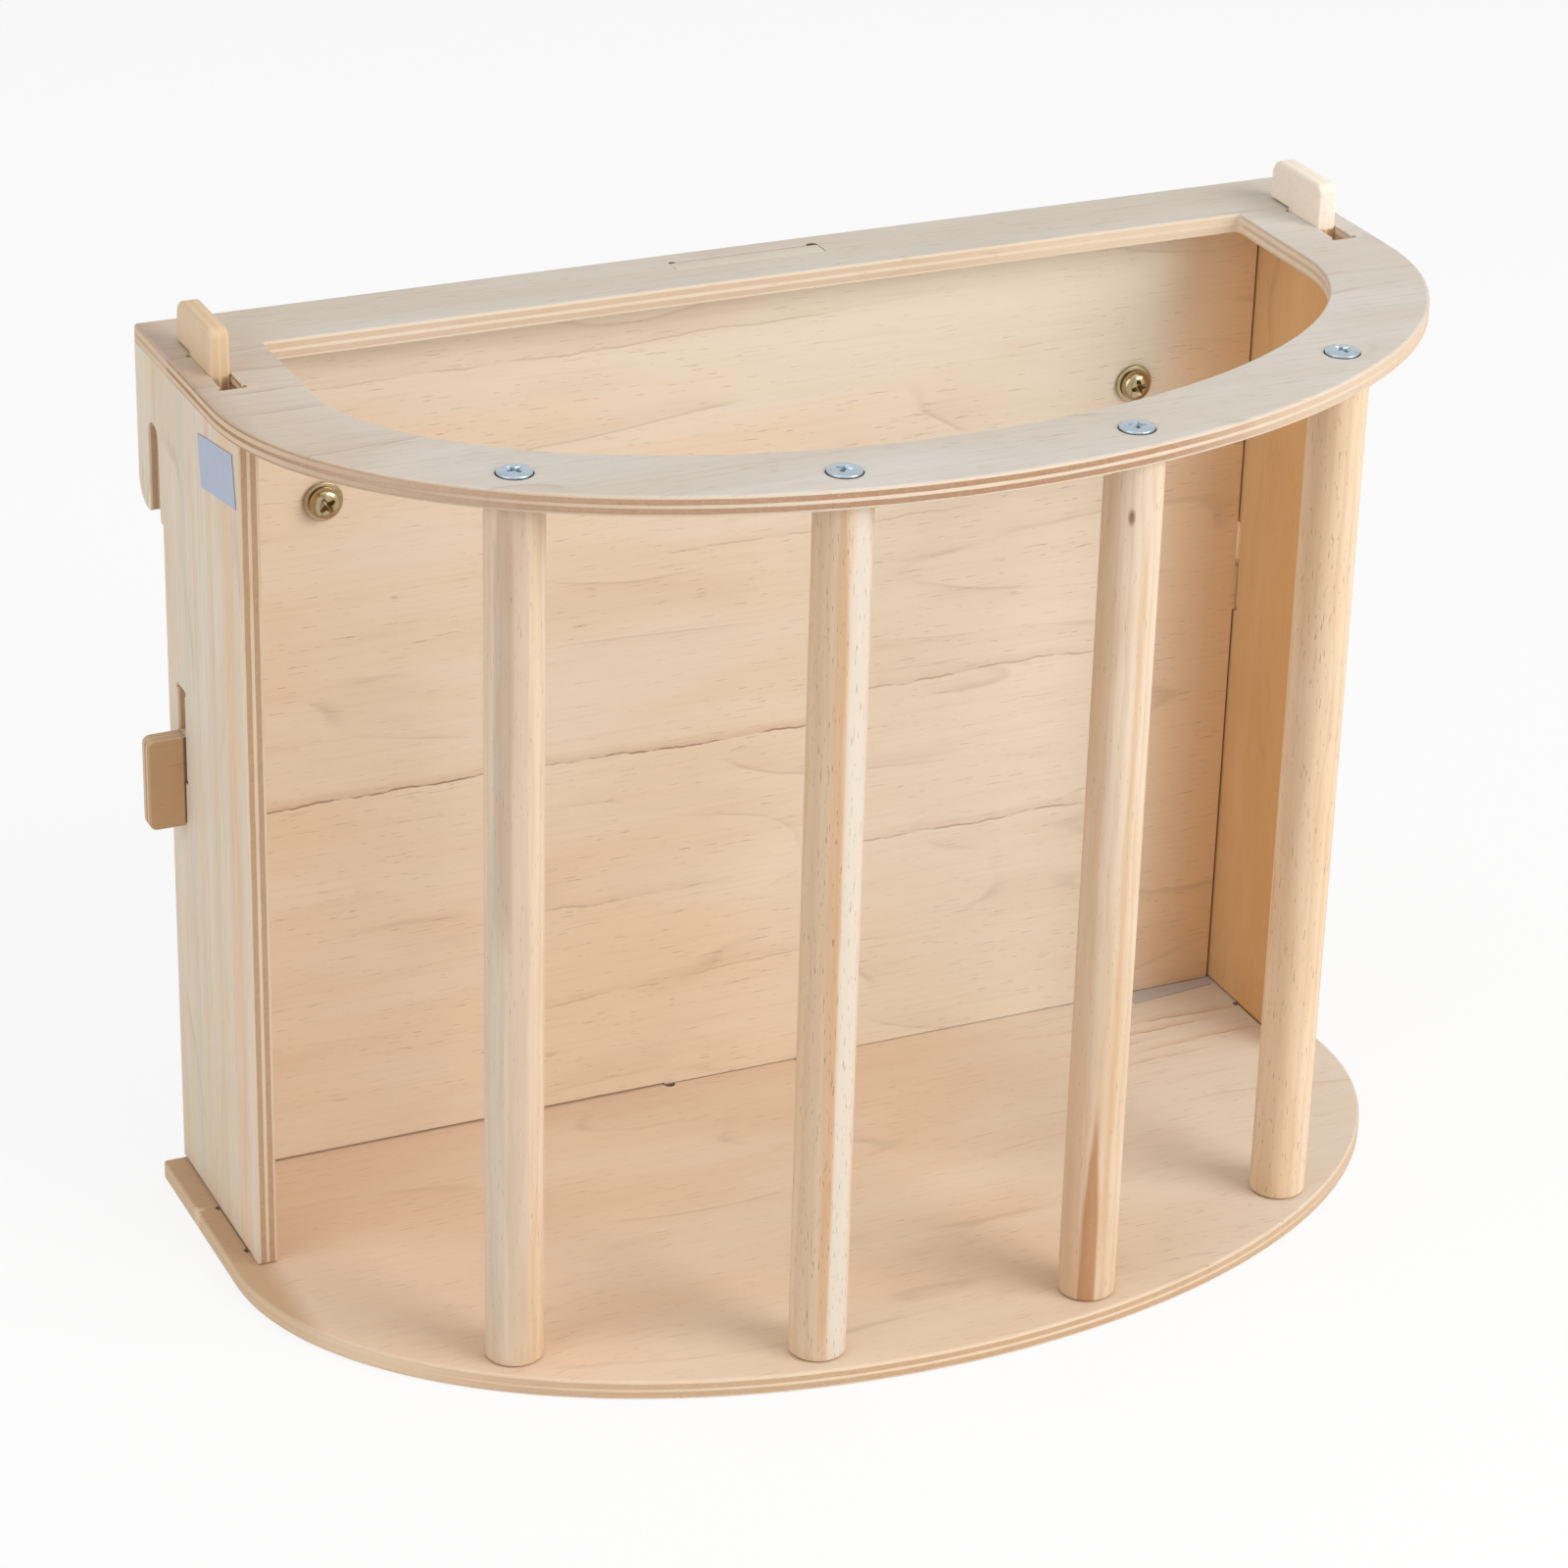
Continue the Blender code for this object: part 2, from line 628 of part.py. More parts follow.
plywood = make_material("plywood", (0.62, 0.47, 0.32), 0.6)
dowel = make_material("dowel", (0.70, 0.52, 0.33), 0.55)
zinc = make_material("zinc", (0.62, 0.64, 0.68), 0.35, 1.0)
nickel = make_material("nickel", (0.66, 0.60, 0.48), 0.32, 1.0)
paper = make_material("paper", (0.66, 0.72, 0.78), 0.7)

bar_places = [place_along_bow((i - (BAR_COUNT - 1) / 2) * BAR_PITCH) for i in range(BAR_COUNT)]
make_flat_panels(plywood, bar_places)
make_side_panels(plywood)
make_back_panel(plywood)
make_bars(dowel, bar_places)
make_screws(zinc, bar_places)
make_clamps(nickel, zinc)
make_labels(paper)
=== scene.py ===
import math

import bmesh
import bpy
from mathutils import Matrix, Vector
from mathutils.geometry import tessellate_polygon


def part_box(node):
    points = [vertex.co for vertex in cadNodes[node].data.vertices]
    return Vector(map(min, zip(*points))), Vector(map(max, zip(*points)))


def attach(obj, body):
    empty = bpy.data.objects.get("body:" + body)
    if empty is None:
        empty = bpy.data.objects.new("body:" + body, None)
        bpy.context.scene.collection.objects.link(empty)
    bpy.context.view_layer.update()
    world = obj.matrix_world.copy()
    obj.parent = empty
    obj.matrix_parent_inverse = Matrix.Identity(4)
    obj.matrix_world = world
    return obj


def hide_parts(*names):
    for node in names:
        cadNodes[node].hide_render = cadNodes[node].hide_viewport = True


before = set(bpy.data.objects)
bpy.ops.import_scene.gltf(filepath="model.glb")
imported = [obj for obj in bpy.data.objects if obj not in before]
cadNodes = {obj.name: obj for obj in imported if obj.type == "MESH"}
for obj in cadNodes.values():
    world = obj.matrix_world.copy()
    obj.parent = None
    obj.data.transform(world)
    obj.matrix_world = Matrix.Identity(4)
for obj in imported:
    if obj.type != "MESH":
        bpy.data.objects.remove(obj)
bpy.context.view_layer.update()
print("frame loaded:", len(cadNodes), "nodes")

mm = 0.001
crease = math.radians(38)  # edges sharper than this aren't shaded smooth


class Values(dict):
    # a dictionary whose values are read by name
    __getattr__ = dict.__getitem__


def srgb(red, green, blue):
    # a colour given 0 to 255, as the shader wants it
    def linear(value):
        value /= 255
        return value / 12.92 if value <= 0.04045 else ((value + 0.055) / 1.055) ** 2.4

    return (linear(red), linear(green), linear(blue), 1)


def sums(operation, swapped=False):
    def combine(self, other=0):
        first, second = (other, self) if swapped else (self, other)
        return self.net.maths(operation, first, second)

    return combine


class Wire:
    # a node's output that can be used in sums
    def __init__(self, net, socket):
        self.net, self.socket = net, socket

    __add__ = __radd__ = sums("ADD")
    __mul__ = __rmul__ = sums("MULTIPLY")
    __sub__, __rsub__ = sums("SUBTRACT"), sums("SUBTRACT", swapped=True)
    __truediv__, __pow__, __abs__ = sums("DIVIDE"), sums("POWER"), sums("ABSOLUTE")


class Net:
    # any tree of nodes
    def __init__(self, tree):
        self.tree = tree

    def node(self, kind, values=None, settings=None, out=0):
        made = self.tree.nodes.new(kind)
        for key, value in (settings or {}).items():
            setattr(made, key, value)
        for key, value in (values or {}).items():
            self.plug(value, made.inputs[key])
        return Wire(self, made.outputs[out])

    def plug(self, value, socket):
        if isinstance(value, Wire):
            self.tree.links.new(value.socket, socket)
        else:
            socket.default_value = value

    def maths(self, operation, first, second=0):
        return self.node("ShaderNodeMath", {0: first, 1: second}, {"operation": operation})

    def split(self, vector):
        made = self.tree.nodes.new("ShaderNodeSeparateXYZ")
        self.plug(vector, made.inputs[0])
        return [Wire(self, output) for output in made.outputs]

    def join(self, x, y, z):
        return self.node("ShaderNodeCombineXYZ", {0: x, 1: y, 2: z})

    def ease(self, value, low, high, first=0, last=1):
        values = {"Value": value, "From Min": low, "From Max": high, "To Min": first, "To Max": last}
        return self.node("ShaderNodeMapRange", values, {"interpolation_type": "SMOOTHSTEP"})

    def fade(self, value, low, high, first=1):
        return self.ease(value, low, high, first, 0)


class Finish(Net):
    # one material, with its shader and its output
    def __init__(self, name):
        self.material = bpy.data.materials.new(name)
        self.material.use_nodes = True
        super().__init__(self.material.node_tree)
        self.tree.nodes.clear()
        self.shader = self.tree.nodes.new("ShaderNodeBsdfPrincipled")
        self.output = self.tree.nodes.new("ShaderNodeOutputMaterial")
        self.tree.links.new(self.shader.outputs[0], self.output.inputs["Surface"])
        self.place = self.node("ShaderNodeTexCoord", out="Object")

    def noise(self, vector, scale, detail, rough):
        values = {"Vector": vector, "Scale": scale, "Detail": detail, "Roughness": rough}
        return self.node("ShaderNodeTexNoise", values, {"noise_dimensions": "3D"})

    def grain(self, x, y, z, detail, rough):
        # noise at a place whose axes are already stretched
        return self.noise(self.join(x, y, z), 1, detail, rough)

    def mix(self, factor, first, second, blend="MIX"):
        settings = {"data_type": "RGBA", "blend_type": blend}
        return self.node("ShaderNodeMix", {0: factor, 6: first, 7: second}, settings, 2)

    def bump(self, height, distance, strength):
        values = {"Height": height, "Distance": distance, "Strength": strength}
        return self.node("ShaderNodeBump", values)

    def close(self, fixed=None, **links):
        for name, value in (fixed or {}).items():
            self.shader.inputs[name].default_value = value
        for name, value in links.items():
            self.plug(value, self.shader.inputs[name.replace("_", " ")])
        return self.material


class Grow(Net):
    # a Geometry Nodes tree with named inputs, which ends in real faces with one material
    def __init__(self, name, inputs):
        super().__init__(bpy.data.node_groups.new(name, "GeometryNodeTree"))
        panel = self.tree.interface
        panel.new_socket("Geometry", in_out="INPUT", socket_type="NodeSocketGeometry")
        for label, kind in inputs.items():
            panel.new_socket(label, in_out="INPUT", socket_type="NodeSocket" + kind)
        panel.new_socket("Geometry", in_out="OUTPUT", socket_type="NodeSocketGeometry")
        self.source = self.tree.nodes.new("NodeGroupInput")

    def given(self, label):
        return Wire(self, self.source.outputs[label])

    def close(self, geometry):
        whole = self.node("GeometryNodeRealizeInstances", {"Geometry": geometry})
        parts = {"Geometry": whole, "Material": self.given("Material")}
        dressed = self.node("GeometryNodeSetMaterial", parts)
        output = self.tree.nodes.new("NodeGroupOutput")
        self.plug(dressed, output.inputs[0])
        return self.tree


def addItem(name, mesh):
    item = bpy.data.objects.new(name, mesh)
    bpy.context.scene.collection.objects.link(item)
    return item


def grown(name, tree, base, values):
    # runs a tree on a base mesh and keeps what it makes as a plain mesh
    item = addItem(name, base)
    step = item.modifiers.new("grow", "NODES")
    step.node_group = tree
    for socket in tree.interface.items_tree:
        if socket.in_out == "INPUT" and socket.name in values:
            step[socket.identifier] = values[socket.name]
    graph = bpy.context.evaluated_depsgraph_get()
    mesh = bpy.data.meshes.new_from_object(item.evaluated_get(graph))
    item.modifiers.remove(step)
    item.data = mesh
    mesh.name = name
    mesh.set_sharp_from_angle(angle=crease)
    return item


def meshFrom(shape, name):
    mesh = bpy.data.meshes.new(name)
    shape.to_mesh(mesh)
    shape.free()
    return mesh


def closedMesh(shape, name):
    bmesh.ops.recalc_face_normals(shape, faces=shape.faces)
    return meshFrom(shape, name)


def middleOf(node):
    low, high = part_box(node)
    return (low + high) / 2


def settle(item, body, slot, *nodes):
    # a finished piece rides on its body and stands for its CAD nodes
    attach(item, body)
    for node in nodes:
        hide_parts(node)


def dress(node, made):
    materials = cadNodes[node].data.materials
    materials.clear()
    materials.append(made)


print("tools ready")


# Shapes. Outlines are in millimetres, seen from the ring's rear edge, as in the part's own source

(ringLow, ringHigh), (floorLow, floorHigh), (sideLow, sideHigh), (backLow, backHigh) = [
    [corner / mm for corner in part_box(node)]
    for node in ("top_ring", "bottom_panel", "right_side_panel", "back_panel")
]
rearEdge = ringHigh.y
rearPlace = Vector((0, rearEdge, 0)) * mm
backFront, backRear = backLow.y - rearEdge, backHigh.y - rearEdge

sheetSizes = Values(
    ply=ringHigh.z - ringLow.z,
    halfWidth=ringHigh.x,
    sideRun=57.5,  # the sides' straight part, from the rear edge to the bow
    bowSteps=128,
    rearCorner=0.8,
    rim=24.3,
    rearStrip=22.9,
    openingCorner=1,
    play=0.06,  # between a tab and its slot
    headPlay=0.02,  # in front of the back panel's head
    sidePlay=0.7,  # in front of its side tabs
    topPlay=0.05,  # under the ring
    footRise=0.2,  # of the feet over the underside
    reliefs=(1, 1, 1, 1),  # radii left by the cutter at a slot's corners
    ringReliefs=(0, 0, 1.5, 0.9),  # round the back panel's head
    floorReliefs=(1.45, 1.2, 1.2, 1.2),  # round its foot
    sideReliefs=(0.7, 0.7, 0.7, 0.7),  # round its side tabs
    reliefSteps=8,
    roundSteps=3,
    mitreLimit=0.4,
    holeSides=40,
    crease=math.radians(35),
    levelNormal=0.999,  # faces at least this level are shaded flat
)
bowDepth = ringHigh.y - ringLow.y - sheetSizes.sideRun


def arcPoints(centre, radius, start, end, steps):
    turns = [start + (end - start) * i / steps for i in range(steps + 1)]
    return [(centre[0] + radius * math.cos(a), centre[1] + radius * math.sin(a)) for a in turns]


def circlePoints(centre, radius, sides):
    return arcPoints(centre, radius, 0, 2 * math.pi * (sides - 1) / sides, sides - 1)


def filleted(corners):
    # closed outline through corners of x, y and the radius that rounds each
    outline = []
    for i, (x, y, radius) in enumerate(corners):
        before = corners[i - 1]
        after = corners[(i + 1) % len(corners)]
        if radius <= 0:
            outline.append((x, y))
            continue
        into = math.atan2(y - before[1], x - before[0])
        out = math.atan2(after[1] - y, after[0] - x)
        bend = (out - into + math.pi) % (2 * math.pi) - math.pi
        reach = radius * math.tan(abs(bend) / 2)
        side = math.copysign(math.pi / 2, bend)
        startX = x - reach * math.cos(into)
        startY = y - reach * math.sin(into)
        centre = (startX + radius * math.cos(into + side), startY + radius * math.sin(into + side))
        steps = max(3, round(radius * 2))
        outline += arcPoints(centre, radius, into - side, into - side + bend, steps)
    return outline


def bowPoint(turn, inset):
    # on the half ellipse in front, moved inwards by the inset
    width = sheetSizes.halfWidth
    across, ahead = math.cos(turn) / width, math.sin(turn) / bowDepth
    size = math.hypot(across, ahead)
    x = width * math.cos(turn) - inset * across / size
    y = -sheetSizes.sideRun - bowDepth * math.sin(turn) + inset * ahead / size
    return x, y


def bowedOutline(inset, rear, corner):
    steps = sheetSizes.bowSteps
    bow = [(*bowPoint(math.pi * i / steps, inset), 0) for i in range(steps + 1)]
    reach = sheetSizes.halfWidth - inset
    return filleted([(reach, -rear, corner), *bow, (-reach, -rear, corner)])


def reliefSlot(start, end, low, high, radii):
    # slot along its first axis, with the cutter's relief at its corners, from low start
    # over low end and high end to high start
    outline = []
    for x, y, inward, turn, radius in (
        (start, low, 1, math.pi, radii[0]), (end, low, -1, math.pi, radii[1]),
        (end, high, -1, 0, radii[2]), (start, high, 1, 0, radii[3]),
    ):
        centre, steps = (x + inward * radius, y), sheetSizes.reliefSteps
        outline += arcPoints(centre, radius, turn, turn + math.pi, steps) if radius else [(x, y)]
    return outline


def wound(points, leftwards):
    area = sum(a[0] * b[1] - b[0] * a[1] for a, b in zip(points, points[1:] + points[:1]))
    return points if (area > 0) == leftwards else points[::-1]


def sheetMesh(name, rings, thickness):
    # flat sheet about Z = 0 from an outline and its holes, each with the radius that rounds its edges
    shape = bmesh.new()
    lowCap, highCap = [], []
    steps = sheetSizes.roundSteps
    for number, (outline, rounding) in enumerate(rings):
        points = [Vector(point) for point in wound(list(outline), number == 0)]
        inward = []
        for i, here in enumerate(points):
            into = (here - points[i - 1]).normalized()
            out = (points[(i + 1) % len(points)] - here).normalized()
            first, second = Vector((-into.y, into.x)), Vector((-out.y, out.x))
            inward.append((first + second) / max(sheetSizes.mitreLimit, 1 + first.dot(second)))
        radii = [rounding(*point) if callable(rounding) else rounding for point in points]
        levels = []
        for side in (-1, 1):
            turns = [math.pi / 2 * i / steps for i in range(steps + 1)]
            for turn in turns if side < 0 else turns[::-1]:
                level = []
                for point, inside, radius in zip(points, inward, radii):
                    x, y = (point + inside * radius * (1 - math.sin(turn))) * mm
                    z = side * (thickness / 2 - radius * (1 - math.cos(turn))) * mm
                    level.append(shape.verts.new((x, y, z)))
                levels.append(level)
        for lower, upper in zip(levels, levels[1:]):
            for i in range(len(points)):
                after = (i + 1) % len(points)
                shape.faces.new((lower[i], lower[after], upper[after], upper[i])).smooth = True
        lowCap.append(levels[0])
        highCap.append(levels[-1])
    for edges in (lowCap, highCap):
        flat = [vertex for edge in edges for vertex in edge]
        for triangle in tessellate_polygon([[vertex.co / mm for vertex in edge] for edge in edges]):
            shape.faces.new([flat[i] for i in triangle])
    mesh = closedMesh(shape, name)
    mesh.set_sharp_from_angle(angle=sheetSizes.crease)
    for face in mesh.polygons:
        face.use_smooth = abs(face.normal.z) < sheetSizes.levelNormal
    return mesh


def lathe(name, profile, sides):
    # closed body turned about Z from radius and height; it ends on the axis or closes on itself
    shape = bmesh.new()
    rings = []
    for radius, height in profile:
        ring = [(0, 0)] if radius == 0 else circlePoints((0, 0), radius, sides)
        rings.append([shape.verts.new((x * mm, y * mm, height * mm)) for x, y in ring])
    pairs = list(zip(rings, rings[1:]))
    if profile[0][0] > 0:
        pairs.append((rings[-1], rings[0]))
    for first, second in pairs:
        for i in range(sides):
            after = (i + 1) % sides
            corners = [first[i % len(first)], first[after % len(first)]]
            corners += [second[after % len(second)], second[i % len(second)]]
            shape.faces.new(dict.fromkeys(corners)).smooth = True
    mesh = closedMesh(shape, name)
    mesh.set_sharp_from_angle(angle=crease)
    return mesh


def joined(name, meshes):
    shape = bmesh.new()
    for mesh in meshes:
        shape.from_mesh(mesh)
    return meshFrom(shape, name)


def roundedRim(low, high, radius, rounding, steps=4):
    # profile up a rim whose two edges are rounded
    lower = arcPoints((radius - rounding, low + rounding), rounding, -math.pi / 2, 0, steps)
    upper = arcPoints((radius - rounding, high - rounding), rounding, 0, math.pi / 2, steps)
    return lower + upper


def cut(mesh, cutter):
    # takes the cutter out of the mesh
    item, tool = addItem("blank", mesh), addItem("cutter", cutter)
    step = item.modifiers.new("cut", "BOOLEAN")
    step.operation, step.solver, step.object = "DIFFERENCE", "EXACT", tool
    graph = bpy.context.evaluated_depsgraph_get()
    made = bpy.data.meshes.new_from_object(item.evaluated_get(graph))
    for used in (item, tool):
        bpy.data.objects.remove(used)
    made.set_sharp_from_angle(angle=crease)
    return made


# a recess's width at heights that are shares of its depth, and its inner corners
recess = Values(levels=((0.3, -1), (0.52, -0.75), (1, 0), (1.3, 1)), inner=1.5)


def crossCutter(span, blade, depth, height):
    # a cross recess that narrows to its floor
    arm, half = span / 2, blade / 2
    inner = half * recess.inner
    cross = []
    for i in range(4):
        cos, sin = math.cos(math.pi / 2 * i), math.sin(math.pi / 2 * i)
        for x, y in ((arm, -half), (arm, half), (inner, inner)):
            cross.append((x * cos - y * sin, x * sin + y * cos))
    shape = bmesh.new()
    levels = []
    for share, level in recess.levels:
        z = (height + level * depth) * mm
        levels.append([shape.verts.new((x * share * mm, y * share * mm, z)) for x, y in cross])
    for low, high in zip(levels, levels[1:]):
        for i in range(len(cross)):
            after = (i + 1) % len(cross)
            shape.faces.new((low[i], low[after], high[after], high[i]))
    shape.faces.new(levels[0][::-1])
    shape.faces.new(levels[-1])
    return closedMesh(shape, "crossCutter")


# Plywood sheets
lying = Matrix.Translation(rearPlace)
facingSide = lying @ Matrix(((0, 0, 1), (1, 0, 0), (0, 1, 0))).to_4x4()
facingRear = lying @ Matrix(((1, 0, 0), (0, 0, -1), (0, 1, 0))).to_4x4()

sheetEdges = Values(  # radius that sanding left on each edge
    ringRim=0.75, ringOpening=0.45, ringSlot=0.06, floorRim=0.7, floorSlot=0.12,
    slot=0.15, screwHole=0.12, boltHole=0.1, side=0.35, sideTab=0.9,
    back=0.12, backTab=0.45, backHead=0.05,
)
sideSheet = Values(
    front=58.3, lip=0.7, corner=0.8, lowCorner=0.4,
    footPlay=0.04, footLift=0.3,  # gaps over the bottom panel, near and off its front corner
    liftFrom=3, liftTo=1, liftRear=2,
    tabRear=15, tabLength=24.5, tabRise=11, tabHeel=4, tabNose=2.5,
    tabRounded=3,  # how far over the ring its edges are rounded more
    tooth=9.4, toothPlay=0.6, floorTabFront=51, floorTabLength=24,
    earDrop=2, earStart=2,
    hookHeight=46.1, slotStart=2.7, slotWidth=7.8, slotDepth=24.2, slotCorner=3.5,
    prong=8.7, toe=7, heel=3,
)
backSheet = Values(
    centreTab=40, tabBase=105, tabHeight=24, tooth=11.5, slotHeight=25,
    tabTopCorner=2, tabLowCorner=1.8, footCorner=0.8, seamCorner=0.4,
    sidePlay=0.2,  # between a side panel and the tooth outside it
    headDrop=0.04, headCorner=0.2, headHeight=1,
    seam=(0.25, 0.6),  # gaps at its left and right edges
    footGap=(0.6, 0.2),  # gaps under it, left and right of the centre tab
    boltHole=2.1, holeSides=24,
)
screwHead = Values(radius=4.2, seat=0.22)
barAxes = [(middleOf(f"bar_{number}") - rearPlace) / mm for number in range(1, 5)]


def makeFlatSheets():
    s, play = sheetSizes, sheetSizes.play
    centre = backSheet.centreTab / 2 + play
    rear = backRear + play
    ringSlot = reliefSlot(-centre, centre, backFront - s.headPlay, rear, s.ringReliefs)
    floorSlot = reliefSlot(-centre, centre, backFront - play, rear, s.floorReliefs)
    neckRear = -(sideSheet.tabRear + sideSheet.tooth)
    tabEnds = (neckRear - sideSheet.tabLength - play, neckRear + play)
    footFront = -sideSheet.floorTabFront
    footEnds = (footFront - play, footFront + sideSheet.floorTabLength + play)

    def sideSlots(ends):
        slot = reliefSlot(*ends, sideLow.x - play, sideLow.x + s.ply + play, s.reliefs)
        return [([(y * side, x) for x, y in slot], sheetEdges.slot) for side in (-1, 1)]

    outline = bowedOutline(0, 0, s.rearCorner)
    opening = bowedOutline(s.rim, s.rearStrip, s.openingCorner)
    hole = screwHead.radius + screwHead.seat
    holes = [(circlePoints(axis.xy, hole, s.holeSides), sheetEdges.screwHole) for axis in barAxes]
    ring = [(outline, sheetEdges.ringRim), (opening, sheetEdges.ringOpening)]
    ring += [(ringSlot, sheetEdges.ringSlot)] + sideSlots(tabEnds)
    floor = [(outline, sheetEdges.floorRim), (floorSlot, sheetEdges.floorSlot)]
    floor += sideSlots(footEnds)
    for name, rings, low, high in (
        ("topRing", ring, ringLow.z, ringHigh.z), ("bottomPanel", floor, floorLow.z, floorHigh.z),
    ):
        mesh = sheetMesh(name, rings + holes, high - low)
        mesh.transform(Matrix.Translation((0, 0, (low + high) / 2 * mm)) @ lying)
        yield name, mesh


def sideOutline():
    # from the front low corner, back along the floor, up over the hook and forward under the ring
    s = sideSheet
    base, top = floorHigh.z + s.footPlay, ringLow.z - sheetSizes.topPlay
    lifted = base + s.footLift
    foot = floorLow.z + sheetSizes.footRise
    footFront = -s.floorTabFront
    footRear = footFront + s.floorTabLength
    earTop = ringLow.z - s.earDrop
    hookBase = earTop - s.hookHeight
    slotTop = hookBase + s.slotDepth
    slotRear = s.slotStart + s.slotWidth
    hookRear = slotRear + s.prong
    neckRear = -(s.tabRear + s.tooth)
    tabFront = -(s.tabRear + s.tabLength)
    tabTop = ringHigh.z + s.tabRise
    bite = ringHigh.z + s.toothPlay
    return filleted([
        (-s.front, base, s.corner), (footFront - s.liftFrom, base, 0),
        (footFront - s.liftTo, lifted, 0), (footFront, lifted, 0),
        (footFront, foot, s.corner), (footRear, foot, s.corner), (footRear, lifted, 0),
        (s.lip - s.liftRear, lifted, 0), (s.lip, base, s.lowCorner),
        (s.lip, hookBase, 0), (s.slotStart, hookBase, s.corner),
        (s.slotStart, slotTop, s.slotCorner), (slotRear, slotTop, s.slotCorner),
        (slotRear, hookBase, s.corner), (hookRear, hookBase, s.toe),
        (hookRear, earTop, s.heel), (-s.earStart, earTop, 0),
        (-s.earStart, top, s.corner), (neckRear, top, 0), (neckRear, bite, 0),
        (-s.tabRear, bite, s.corner), (-s.tabRear, tabTop, s.tabHeel),
        (tabFront, tabTop, s.tabNose), (tabFront, top, 0), (-s.front, top, s.corner),
    ])


def makeSideSheets():
    play = sheetSizes.play
    neck = backSheet.tabBase + backSheet.tooth
    slot = reliefSlot(neck - play, neck + backSheet.slotHeight + play,
                      backFront - sheetSizes.sidePlay, backRear + play, sheetSizes.sideReliefs)
    slot = ([(y, x) for x, y in slot], sheetEdges.slot)

    def rounding(y, z):
        return sheetEdges["sideTab" if z > ringHigh.z + sideSheet.tabRounded else "side"]

    for name, side in (("leftSidePanel", -1), ("rightSidePanel", 1)):
        mesh = sheetMesh(name, [(sideOutline(), rounding), slot], sideHigh.x - sideLow.x)
        middle = side * (sideLow.x + sideHigh.x) / 2 * mm
        mesh.transform(Matrix.Translation((middle, 0, 0)) @ facingSide)
        yield name, mesh


def makeBackSheet():
    b = backSheet
    tabTop = b.tabBase + b.tabHeight
    neck = b.tabBase + b.tooth
    outer, top = sideHigh.x + b.sidePlay, ringLow.z - sheetSizes.topPlay
    centre, wide = b.centreTab / 2, backHigh.x

    def half(side):
        # from the middle of the foot round to the middle of the head
        inner = sideLow.x - b.seam[side]
        base = floorHigh.z + b.footGap[side]
        return [
            (centre, floorLow.z + sheetSizes.footRise, b.footCorner), (centre, base, 0),
            (inner, base, b.seamCorner), (inner, neck, 0), (outer, neck, 0),
            (outer, b.tabBase, b.footCorner), (wide, b.tabBase, b.tabLowCorner),
            (wide, tabTop, b.tabTopCorner), (inner, tabTop, 0), (inner, top, b.seamCorner),
            (centre, top, 0), (centre, ringHigh.z - b.headDrop, b.headCorner),
        ]

    outline = filleted(half(1) + [(-x, z, radius) for x, z, radius in reversed(half(0))])
    holes = []
    for side in ("left", "right"):
        axis = middleOf(side + "_bolt_washer") / mm
        holes.append((circlePoints((axis.x, axis.z), b.boltHole, b.holeSides), sheetEdges.boltHole))

    def rounding(x, z):
        if z > ringHigh.z - b.headHeight:
            return sheetEdges.backHead
        return sheetEdges["backTab" if abs(x) > sideHigh.x else "back"]

    mesh = sheetMesh("backPanel", [(outline, rounding)] + holes, backHigh.y - backLow.y)
    mesh.transform(Matrix.Translation((0, (backFront + backRear) / 2 * mm, 0)) @ facingRear)
    return "backPanel", mesh


sheetNodes = {
    "topRing": "top_ring", "bottomPanel": "bottom_panel", "leftSidePanel": "left_side_panel",
    "rightSidePanel": "right_side_panel", "backPanel": "back_panel",
}
sheets = {}
for name, mesh in [*makeFlatSheets(), *makeSideSheets(), makeBackSheet()]:
    sheets[name] = addItem(name, mesh)
    settle(sheets[name], "rack", "plywood", sheetNodes[name])
print("plywood sheets cut")


# Wood. Lengths inside the wood's own maths are in millimetres, and a noise's three places are
# stretched along the grain, across it and through it
plies = Values(
    coreHalf=0.45, crossHalf=1.75, blur=0.07, waver=0.14,
    seam=0.12, seamAmount=0.26,
)
sheetLook = Values(
    pale=srgb(228, 208, 180), warm=srgb(220, 192, 158), line=srgb(186, 142, 102),
    fleck=srgb(128, 92, 66), endGrain=srgb(170, 128, 90), veneer=srgb(232, 206, 172),
    seamShade=srgb(96, 66, 44),
    rings=5, lineAmount=0.16, halo=0.10, streak=0.12, fleckFrom=0.675,
    fleckAmount=0.5, end=0.85, endTop=1, bump=0.3, glow=0.3, aboveFrom=232,
    growth=(), drift=(), strips=(), nicks=(),
    endCalm=None, aboveRing=None, plainEnd=None, footLine=None, pocket=None,
)
lateWood = Values(  # a strong growth line and the glow on one side of it
    wander=9, shiver=1.6, tail=12, width=(0.05, 0.42), gaps=(0.36, 0.55),
    glowWidth=3.4, glowEdge=(-0.3, 0.1), amount=0.8,
)
veneer = Values(  # soft bands: each rises, and falls at its dark rim
    sway=0.22, rise=(0.2, 0.94), fall=(0.95, 1), rim=(0.90, 0.955), rimFall=(0.96, 1),
    shown=(0.42, 0.66), patches=(0.32, 0.68), streaks=(0.42, 0.78),
    fleckSoft=0.06, fleckPatches=(0.3, 0.6, 0.35, 1),
    stripSoft=0.3, stripWaver=2.4, stripFray=0.8,
)
edgeLook = Values(  # the sheets' cut edges
    turned=(0.55, 0.8), upFrom=(0.5, 0.8), power=1.5, veneer=0.55, calm=0.6,
    speckled=(0.62, 0.45, 0.25), pocketSoft=0.5, pocketRim=(1.8, 2.4), pocketShade=0.9,
    aboveSoft=0.8, aboveSpeckled=(1.02, 0.42), nick=0.8,
    footSoft=(0.35, 3), footSpeckled=(0.55, 0.4),
)


